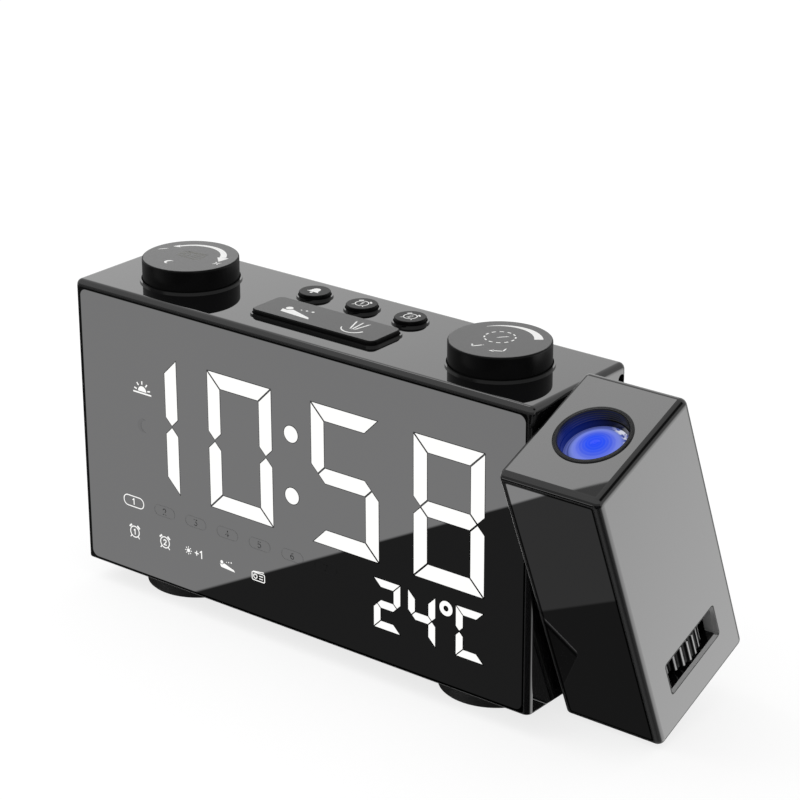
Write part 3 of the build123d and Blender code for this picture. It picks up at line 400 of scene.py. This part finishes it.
def glossParts(net):                       # polished plastic: its smear, its colour and its faint waves
    smear = net.noise(blackGloss["smearSize"], 3)
    colour = net.mix(smear, blackGloss["dark"], blackGloss["pale"])
    return smear, colour, net.bump(net.noise(blackGloss["wave"]), blackGloss["waveDepth"])


def glossSurface(net, matt, smear, colour, normal):
    roughness = matt * blackGloss["matt"] + smear * blackGloss["smear"] + blackGloss["roughness"]
    net.surface(baseColour=colour, roughness=roughness, normal=normal, ior=blackGloss["ior"],
                coat=1 - matt, coatRoughness=blackGloss["coatRoughness"])


def glossBlackFinish():                    # the clock's shell, with a matt rim round the mirror
    material, net = newFinish("black_gloss_plastic")
    glossSurface(net, facing(net, -backward), *glossParts(net))
    return material


# The focus slot in the head: its rim shines like the face round it, its back wall is left matt, and both
# carry painted light: a light grey painted on the back wall, and part of it on the rim.
slotWall = {"length": 20.8, "height": 8.6, "rim": 0.7, "up": 16.2, "matt": (0.22, 0.22, 0.22),
            "blur": 0.02, "wall": 0.1, "rimShare": 0.6}


def headShellFinish():
    material, net = newFinish("head_shell_plastic")
    middle = headPoint(headWidth, 0, slotWall["up"])
    rimSize, blur = slotWall["rim"], slotWall["blur"]
    depth = net.along(rightward, middle) * -1
    back = net.along(headBack, middle)
    high = net.along(headUp, middle).maths("ABSOLUTE").below(slotWall["height"] / 2 + rimSize, blur)
    wide = back.maths("ABSOLUTE").below(slotWall["length"] / 2 + rimSize, blur)
    rim = high * wide * depth.below(rimSize, blur)
    wallAt = slotWall["length"] / 2 - slotWall["wall"]
    wall = high * wide * depth.above(rimSize, blur) * back.above(wallAt, blur)
    matt = wall.maths("MAXIMUM", facing(net, -headBack))
    smear, colour, waves = glossParts(net)
    # painted light: the back wall takes the light grey fully, the rim in part
    colour = net.mix(wall.maths("MAXIMUM", rim * slotWall["rimShare"]), colour, slotWall["matt"])
    flat = net.node("ShaderNodeMix", {"data_type": "VECTOR"}, {0: rim, 4: waves, 5: rightward})[1]
    glossSurface(net, matt, smear, colour, flat)
    return material


mirrorTint = {"dark": (0.166, 0.166, 0.168), "pale": (0.172, 0.172, 0.173), "cloud": 60, "roughness": 0.001,
              "uneven": 0.002, "border": 0.4, "borderBlur": 0.05, "line": (0.001, 0.001, 0.001)}


def spanAlong(node, axis):                 # how far a piece reaches along an axis
    reaches = [vertex.co.dot(axis) for vertex in nodes[node].data.vertices]
    return min(reaches), max(reaches)


# Half-silvered window with a fine black border that turns round its corners.
def mirrorFinish(name, node, up, corner):
    material, net = newFinish(name)
    past = []
    for axis in (rightward, up):
        low, high = spanAlong(node, axis)
        aside = (net.dot(net.place(), axis) - (low + high) / 2).maths("ABSOLUTE") / mm
        past.append((aside - ((high - low) / 2 / mm - corner)).maths("MAXIMUM", 0.0))
    inside = corner - (past[0] * past[0] + past[1] * past[1]).maths("SQRT")
    cloud = net.noise(mirrorTint["cloud"])
    tint = net.mix(cloud, mirrorTint["dark"], mirrorTint["pale"])
    window = inside.above(mirrorTint["border"], mirrorTint["borderBlur"])
    net.surface(baseColour=net.mix(window, mirrorTint["line"], tint), metallic=1.0,
                roughness=cloud * mirrorTint["uneven"] + mirrorTint["roughness"])
    return material


satinBlack = {"dark": (0.010, 0.010, 0.0105), "pale": (0.016, 0.016, 0.0165), "roughness": 0.42,
              "grain": 0.35, "grainDepth": 0.012}
footRubber = {"dark": (0.003, 0.003, 0.003), "pale": (0.007, 0.007, 0.007), "roughness": 0.45,
              "grain": 0.25, "grainDepth": 0.02}
paperCone = {"dark": (0.02, 0.02, 0.02), "pale": (0.06, 0.06, 0.058), "roughness": 0.85,
             "grain": 0.5, "grainDepth": 0.05}
ferrite = {"dark": (0.03, 0.03, 0.033), "pale": (0.09, 0.09, 0.095), "roughness": 0.55,
           "grain": 0.2, "grainDepth": 0.02}
whiteResin = {"dark": (0.74, 0.74, 0.72), "pale": (0.82, 0.82, 0.81), "roughness": 0.5,
              "grain": 0.3, "grainDepth": 0.004}
handling = {"size": 20, "uneven": 0.08}    # patches where a satin surface shines more or less


def handledRoughness(net, roughness):
    return net.noise(handling["size"]) * handling["uneven"] + roughness


def grainedFinish(name, look):             # satin plastic, rubber, resin, paper, ink, or a painted shade line
    material, net = newFinish(name)
    grain = net.noise(look["grain"], 4)
    net.surface(baseColour=net.mix(grain, look["dark"], look["pale"]),
                roughness=handledRoughness(net, look["roughness"]),
                normal=net.bump(grain, look["grainDepth"]))
    return material


keySatin = {"dark": (0.0008, 0.0008, 0.0009), "pale": (0.002, 0.002, 0.0021), "roughness": 0.3,
            "grain": 0.3, "grainDepth": 0.002, "specular": 0.15}
keyTop = {"level": 0.9, "roughness": 0.12, "ior": 1.44, "skirt": 1.0, "blur": 0.1}


def controlFinish():                       # knobs, bar and keys: soft black sides, smooth tops
    material, net = newFinish("control_plastic")
    grain = net.noise(keySatin["grain"], 4)
    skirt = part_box("housing")[1].z + keyTop["skirt"] * mm
    raised = net.dot(net.place(), upward).above(skirt, keyTop["blur"] * mm)
    net.surface(baseColour=net.mix(grain, keySatin["dark"], keySatin["pale"]),
                roughness=handledRoughness(net, keySatin["roughness"]), specular=keySatin["specular"],
                coat=facing(net, upward, keyTop["level"]) * raised, coatRoughness=keyTop["roughness"],
                coatIor=keyTop["ior"], normal=net.bump(grain, keySatin["grainDepth"]))
    return material


wheelRibs = {"dark": (0.001, 0.001, 0.0011), "worn": (0.5, 0.5, 0.5), "count": 28, "line": 0.09,
             "blur": 0.04, "patch": 3, "uneven": 0.1, "roughness": 0.3, "specular": 0.12}


def wheelFinish():                         # black ribs with a painted highlight, pale grey, along each crest
    material, net = newFinish("focus_wheel_plastic")
    axle = jointPlace("focus_turn")
    turn = net.along(headBack, axle).maths("ARCTAN2", net.along(rightward, axle))
    rib = (turn * (wheelRibs["count"] / (2 * pi))).maths("FRACT")
    # painted highlight: the crest of each rib is painted pale grey
    crest = (rib - 0.5).maths("ABSOLUTE").below(wheelRibs["line"], wheelRibs["blur"])
    net.surface(baseColour=net.mix(crest, wheelRibs["dark"], wheelRibs["worn"]),
                roughness=net.noise(wheelRibs["patch"]) * wheelRibs["uneven"] + wheelRibs["roughness"],
                specular=wheelRibs["specular"])
    return material


circuitBoard = {"mask": (0.02, 0.11, 0.05), "track": (0.05, 0.22, 0.1), "tin": (0.6, 0.6, 0.58),
                "trackPitch": 1.6, "waves": 0.3, "bends": 3.0, "trackEdge": (0.7, 0.06), "trackDepth": 0.03,
                "padPitch": 5.0, "padEdge": (0.16, 0.02), "padMetal": 0.9, "padShine": 0.12,
                "roughness": 0.42}


def boardFinish():                         # green solder mask over tracks, tinned pads
    material, net = newFinish("circuit_board")
    cells = net.node("ShaderNodeTexVoronoi", {"distance": "CHEBYCHEV"},
                     {"Scale": 1 / (circuitBoard["padPitch"] * mm), "Vector": net.place()})
    pad = cells["Distance"].below(*circuitBoard["padEdge"])
    scale = circuitBoard["waves"] / (circuitBoard["trackPitch"] * mm)
    lines = net.node("ShaderNodeTexWave", {"wave_type": "BANDS", "bands_direction": "DIAGONAL"},
                     {"Scale": scale, "Distortion": circuitBoard["bends"], "Vector": net.place()})
    track = lines["Fac"].above(*circuitBoard["trackEdge"])
    colour = net.mix(track, circuitBoard["mask"], circuitBoard["track"])
    net.surface(baseColour=net.mix(pad, colour, circuitBoard["tin"]),
                metallic=pad * circuitBoard["padMetal"],
                roughness=circuitBoard["roughness"] - pad * circuitBoard["padShine"],
                normal=net.bump(track, circuitBoard["trackDepth"]))
    return material


drawn = {"streak": 0.3, "stretch": (0.06, 1, 1), "uneven": 0.2, "depth": 0.004}
steelLook = {"colour": (0.58, 0.58, 0.59), "shade": (0.45, 0.45, 0.46), "roughness": 0.22}
brassLook = {"colour": (0.72, 0.56, 0.28), "shade": (0.6, 0.44, 0.2), "roughness": 0.2}


def metalFinish(name, look):               # drawn metal: fine streaks along one direction
    material, net = newFinish(name)
    streaks = net.noise(drawn["streak"], 3, net.stretched(drawn["stretch"]))
    net.surface(baseColour=net.mix(streaks, look["shade"], look["colour"]), metallic=1.0,
                roughness=streaks * drawn["uneven"] + look["roughness"],
                normal=net.bump(streaks, drawn["depth"]))
    return material


clearGlass = {"tint": (0.82, 0.88, 1.0), "haze": 3, "uneven": 0.02, "roughness": 0.02, "ior": 1.5}


def glassFinish():
    material, net = newFinish("clear_glass")
    haze = net.noise(clearGlass["haze"])
    net.surface(baseColour=clearGlass["tint"], transmission=1.0, ior=clearGlass["ior"],
                roughness=haze * clearGlass["uneven"] + clearGlass["roughness"])
    return material


lampLook = {"cool": (0.75, 0.85, 1.0), "warm": (1.0, 0.95, 0.7), "speck": 0.5, "strength": 0.8,
            "roughness": 0.5}


def ledFinish():
    material, net = newFinish("led_phosphor")
    colour = net.mix(net.noise(lampLook["speck"], 3), lampLook["cool"], lampLook["warm"])
    net.surface(baseColour=colour, glow=colour, glowStrength=lampLook["strength"],
                roughness=lampLook["roughness"])
    return material


# The projector's lens, lit from behind: blue in the middle, pale lavender round it, with painted glints
# near its rim.
lensLook = {"radius": 8.2, "top": 78.4, "rings": 0.8, "ringEdge": (0.3, 0.6), "ringShare": 0.22,
            "pale": (0.25, 0.31, 0.76), "glass": (0.01, 0.012, 0.03), "strength": 1.0,
            "roughness": 0.06, "specular": 0.1,
            "stops": [(0.0, (0.004, 0.05, 0.92)), (0.28, (0.012, 0.07, 0.86)), (0.48, (0.06, 0.11, 0.74)),
                      (0.66, (0.17, 0.22, 0.74)), (0.76, (0.15, 0.2, 0.6)), (0.84, (0.05, 0.07, 0.26)),
                      (0.95, (0.07, 0.09, 0.32)), (1.0, (0.02, 0.03, 0.12))]}
lensGlints = {"glint": (0.62, 0.64, 0.72), "size": 1.3, "some": (0.5, 0.06), "outer": (0.8, 0.05),
              "oneSide": (4.0, 0.8)}
wellLook = {"dark": (0.001, 0.001, 0.0013), "pale": (0.003, 0.003, 0.0036), "grain": 0.4, "uneven": 0.08,
            "roughness": 0.14, "specular": 0.4, "grooves": 0.42, "grooveDepth": 0.02}
wellGlow = {"colour": (0.001, 0.008, 0.12), "wall": (9.05, 0.1), "top": (3.6, 1.8), "middle": 0.45,
            "fade": 0.12}
sideways = Vector((0.62, 0.5))             # across and back, from the lens's lit wall to its dark one

lensMiddle = headPoint(headWidth / 2, 0, lensLook["top"])


def lensAxes(net):                         # toward the dark wall, and out from the lens's middle
    across, back = (net.along(axis, lensMiddle) for axis in (rightward, headBack))
    return across * sideways.x + back * sideways.y, (across * across + back * back).maths("SQRT")


def ripples(radius, pitch):                # rings round the lens's middle
    return (radius * (2 * pi / pitch)).maths("SINE")


def lensFinish():
    material, net = newFinish("lit_lens")
    darkward, radius = lensAxes(net)
    share = radius / lensLook["radius"]
    ramp = net.node("ShaderNodeValToRGB", {"stops": lensLook["stops"]}, {0: share})[0]
    rings = ripples(radius, lensLook["rings"]).above(*lensLook["ringEdge"])
    colour = net.mix(rings * share * lensLook["ringShare"], ramp, lensLook["pale"])
    # painted glints: pale reflections painted into the glow near the lens's rim, on its dark side
    some = net.noise(lensGlints["size"], 3).above(*lensGlints["some"])
    glints = some * share.above(*lensGlints["outer"]) * darkward.above(*lensGlints["oneSide"])
    net.surface(baseColour=lensLook["glass"], glow=net.mix(glints, colour, lensGlints["glint"]),
                glowStrength=lensLook["strength"], roughness=lensLook["roughness"],
                specular=lensLook["specular"])
    return material


def wellFinish(name):                      # black plastic round the lens, blue where its light falls
    material, net = newFinish(name)
    darkward, radius = lensAxes(net)
    inside = radius.below(*wellGlow["wall"]) * net.along(headUp, lensMiddle).below(*wellGlow["top"])
    lit = (wellGlow["middle"] - darkward * wellGlow["fade"]).maths("MAXIMUM", 0.0)
    grain = net.noise(wellLook["grain"], 3)
    grooves = net.bump(ripples(radius, wellLook["grooves"]), wellLook["grooveDepth"])
    net.surface(baseColour=net.mix(grain, wellLook["dark"], wellLook["pale"]), glowStrength=1.0,
                glow=net.mix(inside * lit, (0, 0, 0), wellGlow["colour"]), specular=wellLook["specular"],
                roughness=grain * wellLook["uneven"] + wellLook["roughness"], normal=grooves)
    return material


slotFinish = {
    "black_gloss": glossBlackFinish(),
    "mirror_tint": mirrorFinish("tinted_mirror", "mirror_panel", upward, corner=2.4),
    "black_satin": grainedFinish("satin_black_plastic", satinBlack),
    "key_satin": controlFinish(),
    "foot_rubber": grainedFinish("foot_rubber", footRubber),
    "white_plastic": grainedFinish("white_resin", whiteResin),
    "board_green": boardFinish(),
    "steel": metalFinish("drawn_steel", steelLook),
    "spring_brass": metalFinish("spring_brass", brassLook),
    "magnet_dark": grainedFinish("ferrite_magnet", ferrite),
    "cone_paper": grainedFinish("pressed_paper", paperCone),
    "lens_glass": glassFinish(),
    "led_white": ledFinish(),
}
nodeFinish = {
    "lens": lensFinish(),
    "lens_barrel": wellFinish("lens_well"),
    "lens_ring": wellFinish("lens_ring_satin"),
    "focus_wheel": wheelFinish(),
    "head_housing": headShellFinish(),
    "head_panel": mirrorFinish("head_mirror", "head_panel", headUp, corner=0.8),
}
for part in frame["record"]["subparts"]:
    finish = nodeFinish.get(part["node"], slotFinish[part["material_slot"]])
    for slot in nodes[part["node"]].material_slots:
        slot.material = finish
print("finishes made:", len(bpy.data.materials))


# Flat shapes: each is a list of outlines in millimetres

def arc(x, y, radius, start, end, steps=24):           # degrees, counter-clockwise
    turns = [radians(start + (end - start) * step / steps) for step in range(steps + 1)]
    return [(x + radius * cos(turn), y + radius * sin(turn)) for turn in turns]


def disc(x, y, radius, steps=32):
    return [arc(x, y, radius, 0, 360, steps)[:-1]]


def bandSides(points, widths, closed):     # the two offset points at each point, mitred
    count = len(points)
    sides = []
    for index, (x, y) in enumerate(points):
        normals = []
        for first, second in ((index - 1, index), (index, index + 1)):
            if closed or (first >= 0 and second < count):
                (ax, ay), (bx, by) = points[first % count], points[second % count]
                run = hypot(bx - ax, by - ay)
                normals.append(((ay - by) / run, (bx - ax) / run))
        nx = sum(normal[0] for normal in normals)
        ny = sum(normal[1] for normal in normals)
        reach = widths[index] / 2 * len(normals) / (nx * nx + ny * ny)
        sides.append(((x + nx * reach, y + ny * reach), (x - nx * reach, y - ny * reach)))
    return sides


def band(points, width, closed=False, endWidth=None):  # a line of that width, or a tapering one
    count = len(points)
    last = width if endWidth is None else endWidth
    widths = [width + (last - width) * index / (count - 1) for index in range(count)]
    sides = bandSides(points, widths, closed)
    pairs = zip(sides, sides[1:] + sides[:1]) if closed else zip(sides, sides[1:])
    return [[first[0], first[1], second[1], second[0]] for first, second in pairs]


def ring(x, y, radius, width, steps=36):
    return band(arc(x, y, radius, 0, 360, steps)[:-1], width, closed=True)


def spokes(x, y, near, far, turns, width):     # short lines out from a middle, one per turn in degrees
    shapes = []
    for turn in turns:
        across, up = cos(radians(turn)), sin(radians(turn))
        shapes += band([(x + near * across, y + near * up), (x + far * across, y + far * up)], width)
    return shapes


def roundedLoop(width, height, corner):    # a rounded rectangle's outline
    points = []
    for right, top, start in ((1, 1, 0), (-1, 1, 90), (-1, -1, 180), (1, -1, 270)):
        x, y = right * (width / 2 - corner), top * (height / 2 - corner)
        points += arc(x, y, corner, start, start + 90, 6)
    return points


def penLine(points, width):                # straight pieces with round ends and joints
    shapes = []
    for first, second in zip(points, points[1:]):
        shapes += band([first, second], width)
    for x, y in points:
        shapes += disc(x, y, width / 2, 10)
    return shapes


def moved(shapes, x, y, size=1.0, turn=0.0):
    across, up = cos(radians(turn)) * size, sin(radians(turn)) * size
    return [[(x + px * across - py * up, y + px * up + py * across) for px, py in outline]
            for outline in shapes]


# How deep a shape's foot sits in its face, how proud lit and printed shapes stand, and how near
# two corners become one.
laying = {"sunk": 0.01, "lit": 0.03, "print": 0.01, "weld": 0.0001}


# Thin raised shapes on a face, as one piece.
def layShapes(name, shapes, corner, across, up, body, material, proud=laying["print"]):
    mesh = bmesh.new()
    face = across.cross(up)
    base = corner - face * laying["sunk"] * mm
    for outline in shapes:
        mesh.faces.new([mesh.verts.new(base + across * x * mm + up * y * mm) for x, y in outline])
    bmesh.ops.remove_doubles(mesh, verts=mesh.verts, dist=laying["weld"] * mm)
    raised = bmesh.ops.extrude_face_region(mesh, geom=mesh.faces[:])
    lifted = [item for item in raised["geom"] if isinstance(item, bmesh.types.BMVert)]
    bmesh.ops.translate(mesh, verts=lifted, vec=face * (proud + laying["sunk"]) * mm)
    bmesh.ops.recalc_face_normals(mesh, faces=mesh.faces)
    data = bpy.data.meshes.new(name)
    mesh.to_mesh(data)
    mesh.free()
    piece = bpy.data.objects.new(name, data)
    bpy.context.scene.collection.objects.link(piece)
    data.materials.append(material)
    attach(piece, body)


# The lit display's figures, from the mirror's lower left corner

bigDigit = {"width": 21.95, "height": 38.8, "stroke": 4.15, "gap": 0.5, "base": 27.8,
            "lefts": (12.8, 46.0, 81.45, 114.7),
            "colonAt": 74.6, "colonRadius": 2.3, "colonSpread": 17.35}
smallDigit = {"width": 8.6, "height": 13.9, "stroke": 2.1, "gap": 0.32, "base": 9.5,
              "lefts": (101.7, 112.9, 128.1),
              "ringAt": (124.95, 21.5), "ringRadius": 1.42, "ringWidth": 1.25}
segmentsOf = {"0": "abcdef", "1": "bc", "2": "abged", "4": "fgbc", "5": "afgcd", "8": "abcdefg",
              "C": "adef"}
rimWidth = 0.42                            # a band of painted shade round each segment, which darkens the gaps between segments


def segmentShapes(look, lit):
    width, height, stroke = look["width"], look["height"], look["stroke"]
    skip = look["gap"] / sqrt(2)
    middle, half = height / 2, stroke / 2
    across = [(skip, height), (width - skip, height), (width - stroke - skip, height - stroke),
              (stroke + skip, height - stroke)]
    upright = [(0, height - skip), (stroke, height - stroke - skip), (stroke, middle + half + skip),
               (half, middle + skip), (0, middle + half + skip)]
    centre = [(half + skip, middle), (stroke + skip, middle + half), (width - stroke - skip, middle + half),
              (width - half - skip, middle), (width - stroke - skip, middle - half),
              (stroke + skip, middle - half)]
    shapes = {"a": across, "f": upright, "g": centre,
              "d": [(x, height - y) for x, y in across], "b": [(width - x, y) for x, y in upright],
              "e": [(x, height - y) for x, y in upright],
              "c": [(width - x, height - y) for x, y in upright]}
    return [shapes[name] for name in lit]


def digitShapes(look, digits):
    shapes = []
    for digit, left in zip(digits, look["lefts"]):
        shapes += moved(segmentShapes(look, segmentsOf[digit]), left, look["base"])
    return shapes


def timeShapes():
    shapes = digitShapes(bigDigit, "1058")
    middle = bigDigit["base"] + bigDigit["height"] / 2
    for side in (-1, 1):
        dotAt = middle + side * bigDigit["colonSpread"] / 2
        shapes += disc(bigDigit["colonAt"], dotAt, bigDigit["colonRadius"])
    return shapes


def temperatureShapes():                   # with the degree's ring
    shapes = digitShapes(smallDigit, "24C")
    return shapes + ring(*smallDigit["ringAt"], smallDigit["ringRadius"], smallDigit["ringWidth"])


def segmentRims():
    shapes = []
    for outline in timeShapes() + temperatureShapes():
        shapes += band(outline, rimWidth, closed=True)
    return shapes


# Small signs: points are x, y from each sign's own middle. A numeral's are shares of its height.

numeralLines = {
    "1": [(0.1, 0.78), (0.34, 1), (0.34, 0)],
    "2": [(0, 0.8), (0.12, 0.97), (0.32, 1), (0.54, 0.93), (0.6, 0.72), (0.48, 0.5), (0, 0), (0.62, 0)],
    "3": [(0, 1), (0.6, 1), (0.28, 0.6), (0.52, 0.5), (0.62, 0.28), (0.5, 0.06), (0.25, 0), (0, 0.1)],
    "4": [(0.62, 0.28), (0, 0.28), (0.42, 1), (0.42, 0)],
    "5": [(0.56, 1), (0.08, 1), (0.04, 0.56), (0.32, 0.62), (0.56, 0.5), (0.6, 0.26), (0.44, 0.04),
          (0.2, 0), (0, 0.1)],
    "6": [(0.5, 0.95), (0.26, 0.9), (0.06, 0.6), (0, 0.3), (0.12, 0.05), (0.34, 0), (0.56, 0.1),
          (0.6, 0.34), (0.46, 0.54), (0.26, 0.56), (0.04, 0.4)],
    "7": [(0, 1), (0.6, 1), (0.22, 0)],
}
numeralMiddle = (0.3, 0.5)


def numeral(digit, height, width):
    middleX, middleY = numeralMiddle
    line = [((x - middleX) * height, (y - middleY) * height) for x, y in numeralLines[digit]]
    return penLine(line, width)


dayLook = {"width": 7.4, "height": 3.1, "corner": 1.5, "line": 0.28, "numeral": 1.7, "pen": 0.3}


def daySign(digit):                        # day of the week as a number in a rounded frame
    loop = roundedLoop(dayLook["width"], dayLook["height"], dayLook["corner"])
    return band(loop, dayLook["line"], closed=True) + numeral(digit, dayLook["numeral"], dayLook["pen"])


def alarmSign(digit, width=0.3):           # bell clock with the alarm's number
    shapes = ring(0, 0, 1.62, width) + numeral(digit, 1.5, width)
    for side in (-1, 1):
        lean = 90 - side * 42
        shapes += band(arc(0, 0, 2.2, lean - 15, lean + 15, 6), 0.5)
        shapes += penLine([(side * 1.2, -1.25), (side * 1.6, -1.75)], width)
    return shapes


def risingSun():                           # forenoon
    shapes = band([(-3.3, -1.5), (3.3, -1.5)], 0.42) + [arc(0, -1.0, 1.5, 0, 180, 20)]
    return shapes + spokes(0, -1.0, 2.0, 2.95, range(12, 180, 39), 0.4)


def crescent(size):                        # afternoon and night
    outer = arc(0, 0, size, 60, 300, 28)
    inner = arc(size * 0.5, 0, size * 0.866, 270, 90, 28)
    return [outer + inner[1:-1]]


def plusSign(size, width):
    return penLine([(-size, 0), (size, 0)], width) + penLine([(0, -size), (0, size)], width)


def summerSign():                          # a small sun and one hour more
    shapes = disc(-2.5, 0, 0.55, 14) + spokes(-2.5, 0, 0.8, 1.2, range(0, 360, 45), 0.24)
    return shapes + moved(plusSign(0.6, 0.3), 0.5, 0) + moved(numeral("1", 2.1, 0.34), 2.2, 0)


def sleeperSign():                         # a sleeper under a blanket
    blanket = [(-2.65, -0.15), (-1.75, -0.2), (-1.2, 0.3), (2.3, -0.8), (2.65, -1.3), (-2.3, -1.0)]
    shapes = disc(-2.0, 0.5, 0.5, 16) + [blanket]
    for x, y, radius in ((-0.3, 0.85, 0.13), (0.5, 1.0, 0.17), (1.4, 1.15, 0.21)):
        shapes += disc(x, y, radius, 10)
    return shapes


def radioSign(width=0.26):
    shapes = band(roundedLoop(4.4, 2.3, 0.4), width, closed=True) + ring(-1.05, 0, 0.6, width, 18)
    for y in (0.38, -0.38):
        shapes += band([(0.3, y), (1.6, y)], width)
    return shapes + penLine([(-1.7, 1.3), (1.9, 1.75)], width)


def bellSign():
    edge = [(-1.9, -0.9), (-1.3, -0.4), (-1.1, 0.7)] + arc(0, 0.7, 1.1, 180, 0, 12)
    edge += [(1.3, -0.4), (1.9, -0.9)]
    return [edge[::-1]] + disc(0, -1.45, 0.42, 12)


def lampSign():                            # a bowl with three rays
    shapes = band(arc(0, 0, 3.5, 200, 345, 20), 0.3, endWidth=0.55)
    for lean in (-1, 0, 1):
        shapes += penLine([(lean * 0.7, -1.0), (lean * 2.1 - 0.5, 4.1)], 0.42)
    return shapes


def arrowTip(x, y, heading, size):         # a solid triangle that points along its heading
    tip = [(1, 0), (-0.5, 0.75), (-0.5, -0.75)]
    return moved([tip], x, y, size, heading)


# The display's lit and unlit finishes, and its pieces on the mirror

litLook = {"white": (1.0, 1.0, 0.985), "edge": (0.97, 0.97, 0.95), "cloud": 5, "strength": 1.0,
           "body": (0.02, 0.02, 0.02), "roughness": 0.4}
ghostLook = {"dark": (0.154, 0.154, 0.156), "pale": (0.160, 0.160, 0.161), "cloud": 8, "roughness": 0.004}
segmentShadeLook = {"dark": (0.028, 0.028, 0.029), "pale": (0.034, 0.034, 0.035), "cloud": 8, "roughness": 0.02}
signPlaces = {
    "sun": (22.1, 55.8), "moon": (21.9, 44.8), "days": (17.2, 21.2), "dayPitch": 11.4,
    "alarms": ((17.1, 12.1), (28.4, 12.1)), "summer": (39.6, 12.2), "sleeper": (51.2, 11.8),
    "radio": (62.2, 11.6),
}


def litFinish():
    material, net = newFinish("lit_segment")
    colour = net.mix(net.noise(litLook["cloud"], 1), litLook["edge"], litLook["white"])
    net.surface(baseColour=litLook["body"], glow=colour, glowStrength=litLook["strength"],
                roughness=litLook["roughness"])
    return material


def ghostFinish(name, look):               # what is not lit shows a shade darker than the mirror
    material, net = newFinish(name)
    colour = net.mix(net.noise(look["cloud"], 1), look["dark"], look["pale"])
    net.surface(baseColour=colour, metallic=1.0, roughness=look["roughness"])
    return material


def litSigns():
    shapes = moved(risingSun(), *signPlaces["sun"]) + moved(daySign("1"), *signPlaces["days"])
    for digit, place in zip("12", signPlaces["alarms"]):
        shapes += moved(alarmSign(digit), *place)
    shapes += moved(summerSign(), *signPlaces["summer"]) + moved(sleeperSign(), *signPlaces["sleeper"])
    return shapes + moved(radioSign(), *signPlaces["radio"])


def unlitSigns():
    shapes = moved(crescent(2.0), *signPlaces["moon"])
    for number in range(2, 8):
        x = signPlaces["days"][0] + (number - 1) * signPlaces["dayPitch"]
        shapes += moved(daySign(str(number)), x, signPlaces["days"][1])
    return shapes


def layOnMirror(name, shapes, material, proud=laying["lit"]):
    layShapes(name, shapes, mirrorCorner, rightward, upward, "clock_body", material, proud)


litSegment = litFinish()
unlitSign = ghostFinish("unlit_sign", ghostLook)
# painted shade: a darker band laid round every lit segment
segmentShade = ghostFinish("segment_shade", segmentShadeLook)
layOnMirror("time_segments", timeShapes(), litSegment)
layOnMirror("temperature_segments", temperatureShapes(), litSegment)
layOnMirror("segment_rims", segmentRims(), segmentShade, laying["print"])
layOnMirror("lit_signs", litSigns(), litSegment)
layOnMirror("unlit_signs", unlitSigns(), unlitSign)
print("display lit")


# Printed marks on the controls, from each one's middle

whiteInk = {"dark": (0.84, 0.84, 0.83), "pale": (0.9, 0.9, 0.89), "roughness": 0.5,
            "grain": 0.12, "grainDepth": 0.002}
faintInk = {"dark": (0.12, 0.12, 0.11), "pale": (0.2, 0.2, 0.18), "roughness": 0.5,
            "grain": 0.2, "grainDepth": 0.002}
# painted shade: the black of the line round the focus slot
slotShadeLook = {"dark": (0.001, 0.001, 0.001), "pale": (0.002, 0.002, 0.002), "roughness": 0.5,
            "grain": 0.3, "grainDepth": 0.002}


def volumeMarks():                         # left knob: turn either way, less and more
    shapes = band(arc(0, 0, 8.9, 150, 27, 40), 0.8, endWidth=1.8)
    shapes += arrowTip(-8.2, 3.9, 222, 1.3) + arrowTip(8.5, 3.0, 290, 2.2)
    shapes += penLine([(-10.7, -1.1), (-9.2, 0.9)], 0.38)
    shapes += moved(plusSign(1.05, 0.38), 9.8, -0.4, 1, 50)
    return shapes + moved(crescent(1.3), -1.2, -7.2)


def entryMarks():                          # right knob: a sweep, a clock face, a tick and a hook arrow
    shapes = band(arc(0, 0, 9.5, 147, 35, 40), 0.15, endWidth=2.3)
    for hour in range(12):
        shapes += band(arc(-0.8, 1.0, 3.9, hour * 30 - 8, hour * 30 + 8, 3), 0.4)
    shapes += penLine([(-1.2, 0.5), (0.6, 2.6)], 0.38)
    shapes += penLine([(-3.4, -7.0), (-2.5, -8.0), (-0.9, -5.9)], 0.45)
    shapes += penLine([(5.2, -4.6), (5.6, -6.4), (3.4, -7.6)], 0.42)
    return shapes + arrowTip(3.2, -7.7, 209, 0.9)


def barMarks():
    return moved(sleeperSign(), -8.3, -0.7, 2.0) + moved(lampSign(), 10.4, -0.8)


def printOn(name, shapes, node, body, material):
    low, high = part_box(node)
    middle = Vector(((low.x + high.x) / 2, (low.y + high.y) / 2, high.z))
    layShapes(name, shapes, middle, rightward, backward, body, material)


whitePrint = grainedFinish("white_print", whiteInk)
faintPrint = grainedFinish("faint_print", faintInk)
radioMark = moved(radioSign(), 0, 0.4, 1.6)
printOn("knob_left_marks", volumeMarks(), "knob_left", "left_knob", whitePrint)
printOn("knob_left_radio_mark", radioMark, "knob_left", "left_knob", faintPrint)
printOn("knob_right_marks", entryMarks(), "knob_right", "right_knob", whitePrint)
printOn("snooze_bar_marks", barMarks(), "snooze_bar", "snooze", whitePrint)
printOn("key_1_mark", moved(bellSign(), 0, 0, 1.05), "key_1", "key_one", whitePrint)
printOn("key_2_mark", moved(alarmSign("1", 0.26), 0, 0, 1.1), "key_2", "key_two", whitePrint)
printOn("key_3_mark", moved(alarmSign("2", 0.26), 0, 0, 1.1), "key_3", "key_three", whitePrint)

# A painted shade line round the focus slot: a fine black band where the slot's bevel lies in shade
slotLine = {"length": 22.6, "height": 10.4, "corner": 0.9, "width": 0.34}
slotLoop = roundedLoop(slotLine["length"], slotLine["height"], slotLine["corner"])
slotRing = band(slotLoop, slotLine["width"], closed=True)
slotMiddle = headPoint(headWidth, 0, slotWall["up"])
slotShade = grainedFinish("slot_shade_line", slotShadeLook)
layShapes("slot_shade_line", slotRing, slotMiddle, headBack, headUp, "projector_head", slotShade)
print("marks printed")
